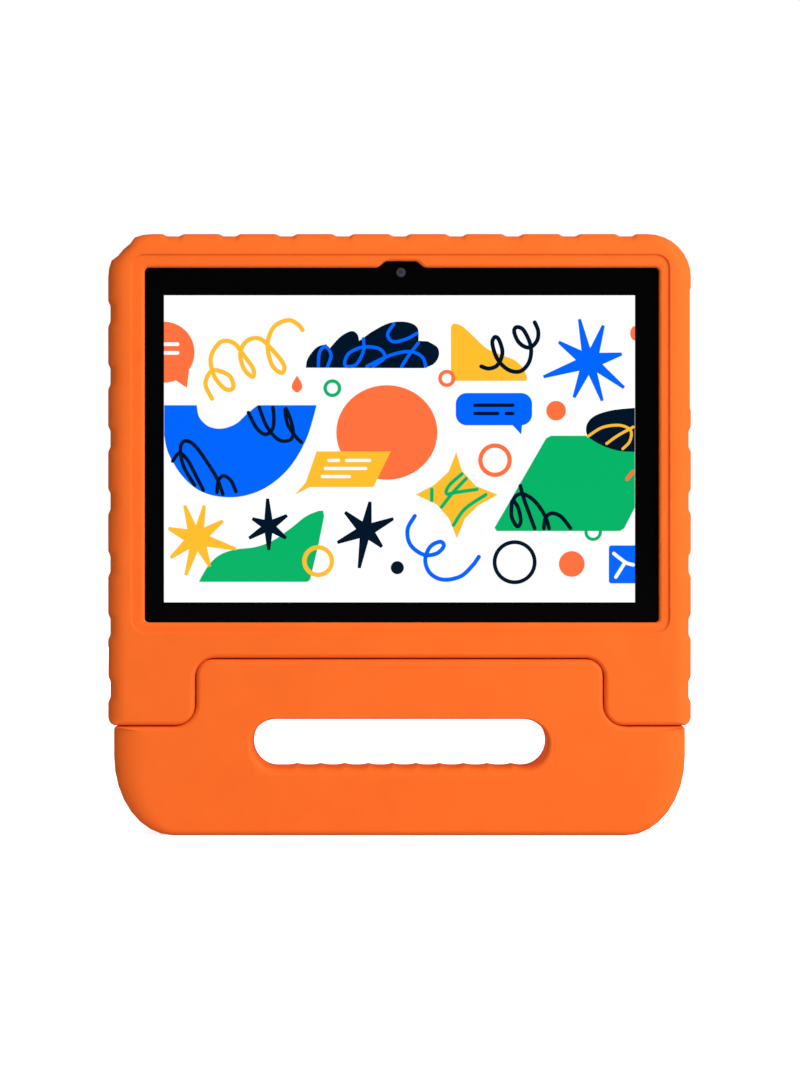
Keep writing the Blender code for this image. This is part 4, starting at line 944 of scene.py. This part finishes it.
def draw_right(picture):
    """Right half of the arrangement."""
    line, polygon, hoop, disc = picture.line, picture.polygon, picture.hoop, picture.disc
    # hill with a dark looped scribble
    ridge = flowing([(23.6, 56), (25.2, 57.4), (29, 56), (34, 51.5), (40, 46), (47, 43), (53, 40.5),
                     (57, 36.5), (58.6, 32)])
    polygon("yellow", 2, [(23.6, 31.2), *ridge, (58, 31.2)])
    line(
        "navy", 3, 1.9,
        (37.5, 37.8), (41, 36.8), (45, 38.5), (47.2, 44), (45.6, 50), (43.6, 51.2), (42.6, 48),
        (45, 41), (50, 36.2), (55.5, 35.6), (59.5, 40), (60.2, 47), (57, 54.3), (53.7, 55.8),
        (52.6, 53.5), (55, 48.5), (59.5, 46.4), (63, 49.5), (63.6, 54), (62, 58),
    )
    # large star
    polygon("blue", 2, star(
        87, 40, 6.2, (102, 43.5), (93.5, 56.6), (82.5, 59.5), (73, 49), (66, 33), (80, 23.5), (93, 22),
        (103, 28),
    ))
    # bubble with three bars
    polygon("blue", 2, card(43.3, 18.2, 17.5, 7.4, 5.0))
    polygon("blue", 2, [(51.5, 11.2), (55.8, 6.6), (56.4, 12.5)])
    picture.bars("navy", 3, 1.6, (34.6, 52, 20), (34.6, 45, 16.2), (49, 52, 16.2))
    # rings and dots
    hoop("orange", 3, 21.7, 32.3, 3.1, 1.7)
    disc("orange", 2, 71.8, 17.5, 4.5)
    disc("orange", 2, 108.0, 53.0, 2.2, 1.5)
    hoop("orange", 2, 43.8, -5.2, 6.7, 2.0)
    hoop("navy", 2, 52.8, -52.0, 9.2, 1.8)
    disc("orange", 2, 79.0, -52.8, 5.9)
    hoop("green", 2, 88.8, -38.2, 3.3, 1.5)
    # sparkle with green stems
    polygon("yellow", 2, [
        (26, -1.5), (28.6, -10), (35, -17), (45, -21), (36, -26), (30, -32), (26.3, -41), (22.7, -32),
        (17, -25.5), (7.5, -21), (16, -16.5), (22.5, -10.5),
    ])
    line("green", 3, 1.7, (14.8, -18.6), (14.8, -23.6))
    line("green", 3, 1.7, (28.6, -11.5), (22.8, -16.8), (21.6, -20.6), (27, -19.8), (35.5, -18.6))
    line("green", 3, 1.7, (19.3, -26.7), (24.5, -20), (30.6, -13.6))
    line("green", 3, 1.7, (24.8, -35), (30, -27.5), (39.6, -21))
    # curl
    line(
        "blue", 2, 1.9,
        (7, -30.8), (3.7, -37), (5, -44), (11, -48.5), (17, -48), (20.3, -44.6), (18.6, -42.6), (14, -45),
        (11.8, -51), (14, -57), (20, -60), (28, -58.5), (33.5, -53.5), (36.4, -49.5),
    )
    # dark oval behind a slanted green block
    oval_edge = flowing([(107.9, 18.8), (97, 17.6), (89, 14.8), (85.6, 10), (87, 4), (92, -1)])
    polygon("navy", 2, [*oval_edge, (107.9, -3)])
    brim = flowing([(107.9, -1.4), (100, -0.8), (92, 2), (85.5, 6)])
    polygon("green", 3, [
        (43.6, -36.2), (44.6, -37.7), (101, -37.7), (103, -36.5), (107.9, -27), *brim, (69.4, 6),
        (67.2, 4.8),
    ])
    line("yellow", 4, 1.3, (86.6, 5.8), (93, 9.8), (101, 10.8), (106, 8.4), (105.6, 3.5), (102.4, 0))
    line("yellow", 4, 1.3, (95, 2.4), (100, 6), (107.2, 10))
    line("orange", 4, 1.8, (104.4, -13.8), (107, -10.6))
    line("navy", 4, 1.8, (55.4, -17), (57.4, -24), (62, -36.5))
    line("navy", 4, 1.8, (51.6, -24), (51.4, -31), (54, -35.6), (55.6, -33), (54.4, -27), (52.4, -23),
         (56, -20.6), (61.6, -23.6), (66.6, -30.5), (68.6, -36.5))
    line("navy", 4, 1.8, (66.2, -36.5), (66.8, -32), (69.6, -29.6), (74, -31), (78.4, -36.4))
    # card with a fold at the border
    polygon("blue", 2, card(102.6, -53, 6.6, 8.7, 1.2))
    line("white", 3, 1.6, (98.3, -48), (103.5, -52), (107.2, -53.2))
    line("white", 3, 1.6, (103.5, -52), (99.2, -58.8))


def front_lens(black, glint):
    """Lens of the front camera behind the glass: a dark ring and a small glass dome."""
    for (name, radius, rise), finish in zip(LENS_PIECES, (black, glint)):
        shell = Shell()
        circle = rectangle(LENS_X, LENS_Z, radius, radius, radius)
        first, last = shell.loft([
            ring(circle, radius * inset, GLASS_FRONT - rise * height) for inset, height in LENS_PROFILE
        ])
        shell.fill(first)
        shell.fill(last)
        piece = shell.piece(name, [finish], sharp=60)
        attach(piece, "case")


# ---------------------------------------------------------------- materials

def plain(name, colour, roughness, metallic=0.0, specular=0.5):
    """Principled material and its shader."""
    made = bpy.data.materials.new(name)
    made.use_nodes = True
    shader = made.node_tree.nodes["Principled BSDF"]
    shader.inputs["Base Color"].default_value = (*colour, 1.0)
    shader.inputs["Roughness"].default_value = roughness
    shader.inputs["Metallic"].default_value = metallic
    shader.inputs["Specular IOR Level"].default_value = specular
    return made, shader


def texture(made, kind, scale, stretch=(1, 1, 1), **inputs):
    """Texture node read in the piece's own space, in metres."""
    tree = made.node_tree
    coordinates = tree.nodes.new("ShaderNodeTexCoord")
    mapping = tree.nodes.new("ShaderNodeMapping")
    mapping.inputs["Scale"].default_value = stretch
    node = tree.nodes.new(kind)
    node.inputs["Scale"].default_value = scale
    for name, value in inputs.items():
        node.inputs[name].default_value = value
    tree.links.new(coordinates.outputs["Object"], mapping.inputs["Vector"])
    tree.links.new(mapping.outputs["Vector"], node.inputs["Vector"])
    return node


def noise(made, scale, detail, stretch=(1, 1, 1)):
    return texture(made, "ShaderNodeTexNoise", scale, stretch, Detail=detail).outputs["Fac"]


def bricks(made, scale, first, second, mortar):
    node = texture(made, "ShaderNodeTexBrick", scale)
    for socket, colour in (("Color1", first), ("Color2", second), ("Mortar", mortar)):
        node.inputs[socket].default_value = (*colour, 1)
    return node.outputs


def ramp(tree, source, points):
    """Numbers read off a line between two (from, to) points, and level past its ends."""
    node = tree.nodes.new("ShaderNodeMapRange")
    for end, point in zip(("Min", "Max"), points):
        node.inputs["From " + end].default_value = point[0]
        node.inputs["To " + end].default_value = point[1]
    tree.links.new(source, node.inputs["Value"])
    return node.outputs["Result"]


def gloss(made, shader, source, low, high):
    """Roughness between two values by a texture."""
    value = ramp(made.node_tree, source, ((0, low), (1, high)))
    made.node_tree.links.new(value, shader.inputs["Roughness"])


def tint(made, shader, source, low, high):
    """Base colour between two colours by a texture."""
    node = made.node_tree.nodes.new("ShaderNodeMix")
    node.data_type = "RGBA"
    node.inputs["A"].default_value = (*low, 1.0)
    node.inputs["B"].default_value = (*high, 1.0)
    made.node_tree.links.new(source, node.inputs["Factor"])
    made.node_tree.links.new(node.outputs["Result"], shader.inputs["Base Color"])


def bump(made, shader, source, strength, distance, under=None):
    node = made.node_tree.nodes.new("ShaderNodeBump")
    node.inputs["Strength"].default_value = strength
    node.inputs["Distance"].default_value = distance
    made.node_tree.links.new(source, node.inputs["Height"])
    if under:
        made.node_tree.links.new(under, node.inputs["Normal"])
    made.node_tree.links.new(node.outputs["Normal"], shader.inputs["Normal"])
    return node.outputs["Normal"]


def foam_material():
    """Closed-cell foam: a fine moulded skin with faint mottling and slow waves."""
    made, shader = plain("orange_foam", (0.9, 0.15, 0.0205), 0.66, specular=0.04)
    tint(made, shader, noise(made, 55, 3.0), (0.86, 0.139, 0.0185), (0.94, 0.161, 0.0225))
    cells = texture(made, "ShaderNodeTexVoronoi", 1500)
    skin = noise(made, 900, 4.0)
    gloss(made, shader, skin, 0.54, 0.7)
    first = bump(made, shader, noise(made, 40, 1.0), 0.35, 0.0006)
    second = bump(made, shader, cells.outputs["Distance"], 0.22, 0.00006, first)
    bump(made, shader, skin, 0.4, 0.00008, second)
    return made


def plastic(name, colour, roughness, grain=1600):
    """Moulded plastic with a fine spark-eroded grain."""
    made, shader = plain(name, colour, roughness)
    fine = noise(made, grain, 2.0)
    light = tuple(min(c * 1.12 + 0.002, 1.0) for c in colour)
    tint(made, shader, noise(made, 60, 2.0), colour, light)
    gloss(made, shader, fine, roughness - 0.06, roughness + 0.08)
    bump(made, shader, fine, 0.25, 0.00004)
    return made


def metal(name, colour, roughness, stretch=(1, 1, 14)):
    """Sheet or turned metal with fine draw marks."""
    made, shader = plain(name, colour, roughness, metallic=1.0)
    marks = noise(made, 700, 3.0, stretch)
    dull = tuple(c * 0.86 for c in colour)
    tint(made, shader, noise(made, 45, 2.0), dull, colour)
    gloss(made, shader, marks, roughness - 0.08, roughness + 0.12)
    bump(made, shader, marks, 0.15, 0.00003)
    return made


def board_material():
    """Green solder mask with copper areas that show through it as lighter lines."""
    made, shader = plain("board_green", (0.02, 0.16, 0.06), 0.35)
    tracks = bricks(made, 130, (1, 1, 1), (0.7, 0.7, 0.7), (0, 0, 0))
    tint(made, shader, tracks["Color"], (0.012, 0.10, 0.04), (0.03, 0.22, 0.08))
    bump(made, shader, tracks["Fac"], 0.3, 0.00005)
    return made


def foil_material():
    """Aluminium laminate of a battery cell, with soft creases."""
    made, shader = plain("cell_foil", (0.62, 0.63, 0.65), 0.32, metallic=0.7)
    creases = texture(made, "ShaderNodeTexVoronoi", 90).outputs["Distance"]
    tint(made, shader, creases, (0.55, 0.56, 0.58), (0.70, 0.71, 0.73))
    first = bump(made, shader, creases, 0.25, 0.0003)
    bump(made, shader, noise(made, 900, 2.0), 0.1, 0.00003, first)
    return made


def cable_material():
    """Flat flexible circuit: amber film over parallel copper lines."""
    made, shader = plain("flat_cable", (0.5, 0.27, 0.07), 0.4)
    lines = texture(made, "ShaderNodeTexWave", 260, (1, 0, 0), Distortion=0.0)
    tint(made, shader, lines.outputs["Fac"], (0.33, 0.15, 0.035), (0.62, 0.36, 0.12))
    bump(made, shader, lines.outputs["Fac"], 0.2, 0.00004)
    return made


def glass_material(name, colour, roughness, specular):
    """Dark glass with the faintest unevenness in its gloss."""
    made, shader = plain(name, colour, roughness, specular=specular)
    gloss(made, shader, noise(made, 35, 3.0), roughness, roughness + 0.03)
    return made


def picture_material(name, colour):
    """Lit area of the display; its pixels give a very fine grid."""
    made, shader = plain(name, (0.0, 0.0, 0.0), 0.12, specular=0.15)
    pixels = bricks(made, 5200, colour, colour, [c * 0.97 for c in colour])
    made.node_tree.links.new(pixels["Color"], shader.inputs["Emission Color"])
    shader.inputs["Emission Strength"].default_value = 1.0
    return made


def linear(code):
    """Linear colour from a six-digit screen colour."""
    channels = [int(code[i:i + 2], 16) / 255 for i in (0, 2, 4)]
    return tuple(c / 12.92 if c < 0.04045 else ((c + 0.055) / 1.055) ** 2.4 for c in channels)


REPLACED = ("foam_case", "handle_foam", "front_glass")
KEYS = ("power_button", "volume_rocker")


def dress_nodes():
    """Finishes of the CAD pieces that show their own shape, by the record's slots."""
    finishes = {
        "housing_plastic": plastic("housing_plastic", (0.028, 0.028, 0.032), 0.46),
        "grey_plastic": plastic("grey_plastic", (0.34, 0.35, 0.37), 0.48),
        "steel": metal("steel", (0.62, 0.62, 0.64), 0.26),
        "black_rubber": plastic("black_rubber", (0.03, 0.03, 0.03), 0.78, 500),
        "lens_glass": glass_material("lens_glass", (0.012, 0.014, 0.03), 0.04, 0.6),
        "adhesive_foam": plastic("adhesive_foam", (0.03, 0.03, 0.03), 0.8, 700),
        "screen_panel": glass_material("panel_glass", (0.05, 0.05, 0.055), 0.15, 0.4),
        "diffuser_plastic": plastic("diffuser_plastic", (0.86, 0.87, 0.86), 0.42, 2400),
        "tray_metal": metal("tray_metal", (0.72, 0.72, 0.70), 0.36, (14, 1, 1)),
        "flat_cable": cable_material(),
        "cell_foil": foil_material(),
        "red_wire": plastic("red_wire", (0.55, 0.02, 0.02), 0.45, 900),
        "black_wire": plastic("black_wire", (0.02, 0.02, 0.02), 0.5, 900),
        "board_green": board_material(),
        "chip_black": plastic("chip_black", (0.022, 0.022, 0.024), 0.55, 1100),
    }
    keys = plastic("key_plastic", (0.11, 0.112, 0.12), 0.36)
    for part in frame["record"]["subparts"]:
        node = frame["nodes"][part["node"]]
        if part["material_slot"] in finishes and part["node"] not in REPLACED:
            finish = keys if part["node"] in KEYS else finishes[part["material_slot"]]
            node.data.materials.clear()
            node.data.materials.append(finish)


# ---------------------------------------------------------------- stage, light and camera

CAMERA_DISTANCE = 1.1
VIEW_HEIGHT = 0.4904
VIEW_MIDDLE = (0.00023, 0.1385)
SENSOR = 36.0
WORLD_BY_X = ((-0.8, 0.4), (0.9, 1.22))
WORLD_IN_FRONT = ((-0.97, 0.07), (-0.80, 1.0))
WORLD_BEHIND = ((-0.1, 0.84), (0.5, 0.14))
FLOOR_GLOW_SEEN = 0.8
FLOOR_GLOW_CAST = 0.0
LIGHT_TARGET = (0, 0, 0.14)
KEY_PLACE, KEY_SIZE, KEY_POWER = (1.1, -1.15, 0.8), 1.2, 26.5
BACK_PLACE, BACK_SIZE, BACK_POWER = (-0.5, 1.75, 0.22), 0.9, 27


def product(tree, first, second):
    node = tree.nodes.new("ShaderNodeMath")
    node.operation = "MULTIPLY"
    tree.links.new(first, node.inputs[0])
    tree.links.new(second, node.inputs[1])
    return node.outputs["Value"]


def sky():
    """White studio, brighter to the right, dimmer behind, dark straight in front of the screen."""
    world = bpy.data.worlds.new("studio")
    bpy.context.scene.world = world
    world.use_nodes = True
    tree = world.node_tree
    background = tree.nodes["Background"]
    background.inputs["Color"].default_value = (1.0, 1.0, 1.0, 1.0)
    coordinates = tree.nodes.new("ShaderNodeTexCoord")
    toward = tree.nodes.new("ShaderNodeSeparateXYZ")
    tree.links.new(coordinates.outputs["Generated"], toward.inputs["Vector"])
    rightness = ramp(tree, toward.outputs["X"], WORLD_BY_X)
    front = ramp(tree, toward.outputs["Y"], WORLD_IN_FRONT)
    back = ramp(tree, toward.outputs["Y"], WORLD_BEHIND)
    strength = product(tree, product(tree, rightness, front), back)
    path = tree.nodes.new("ShaderNodeLightPath")
    choose = tree.nodes.new("ShaderNodeMix")
    choose.inputs["B"].default_value = 1.0
    tree.links.new(path.outputs["Is Camera Ray"], choose.inputs["Factor"])
    tree.links.new(strength, choose.inputs["A"])
    tree.links.new(choose.outputs["Result"], background.inputs["Strength"])


def area_light(name, place, size, power, glossy=True):
    light = bpy.data.lights.new(name, "AREA")
    light.shape = "RECTANGLE"
    light.size = size
    light.size_y = size
    light.energy = power
    thing = bpy.data.objects.new(name, light)
    bpy.context.scene.collection.objects.link(thing)
    thing.visible_camera = False
    thing.visible_glossy = glossy
    thing.location = place
    thing.rotation_euler = (Vector(LIGHT_TARGET) - Vector(place)).to_track_quat("-Z", "Y").to_euler()


def stage():
    floor = bpy.data.meshes.new("floor")
    reach = 6.0
    floor.from_pydata(
        [(-reach, -reach, 0), (reach, -reach, 0), (reach, reach, 0), (-reach, reach, 0)],
        [],
        [(0, 1, 2, 3)],
    )
    thing = bpy.data.objects.new("floor", floor)
    bpy.context.scene.collection.objects.link(thing)
    made, shader = plain("pale_floor", (0.72, 0.72, 0.72), 0.9, specular=0.0)
    shader.inputs["Emission Color"].default_value = (1.0, 1.0, 1.0, 1.0)
    path = made.node_tree.nodes.new("ShaderNodeLightPath")
    glow = ramp(
        made.node_tree, path.outputs["Is Camera Ray"], ((0, FLOOR_GLOW_CAST), (1, FLOOR_GLOW_SEEN))
    )
    made.node_tree.links.new(glow, shader.inputs["Emission Strength"])
    floor.materials.append(made)


def camera():
    lens = bpy.data.cameras.new("camera")
    lens.sensor_fit = "VERTICAL"
    lens.sensor_height = SENSOR
    lens.lens = SENSOR * CAMERA_DISTANCE / VIEW_HEIGHT
    thing = bpy.data.objects.new("camera", lens)
    bpy.context.scene.collection.objects.link(thing)
    silhouette = -(HALF_DEPTH - FRONT_SIDE[1]) * MM
    thing.location = (VIEW_MIDDLE[0], silhouette - CAMERA_DISTANCE, VIEW_MIDDLE[1])
    thing.rotation_euler = (math.pi / 2, 0, 0)
    bpy.context.scene.camera = thing


def main():
    bpy.context.scene.view_settings.view_transform = "Standard"
    foam = foam_material()
    foam_case(foam)
    handle(foam)
    screen_glass(glass_material("black_glass", (0.0012, 0.0012, 0.0014), 0.07, 0.03))
    picture = Picture()
    side, top = SCREEN_HALF_WIDTH, SCREEN_HALF_HEIGHT
    picture.polygon("white", 1, [(-side, -top), (side, -top), (side, top), (-side, top)])
    draw_left(picture)
    draw_right(picture)
    picture.pieces({
        "white": picture_material("picture_white", (1.0, 1.0, 1.0)),
        "orange": picture_material("picture_orange", linear("FF7340")),
        "blue": picture_material("picture_blue", linear("0066FF")),
        "yellow": picture_material("picture_yellow", linear("FFC02F")),
        "green": picture_material("picture_green", linear("05B568")),
        "navy": picture_material("picture_navy", linear("001428")),
    })
    front_lens(
        glass_material("lens_ring_black", (0.035, 0.035, 0.04), 0.25, 0.5),
        glass_material("lens_dome_glass", (0.02, 0.025, 0.05), 0.05, 0.8),
    )
    dress_nodes()
    sky()
    stage()
    area_light("key", KEY_PLACE, KEY_SIZE, KEY_POWER)
    area_light("back_fill", BACK_PLACE, BACK_SIZE, BACK_POWER, glossy=False)
    camera()


main()
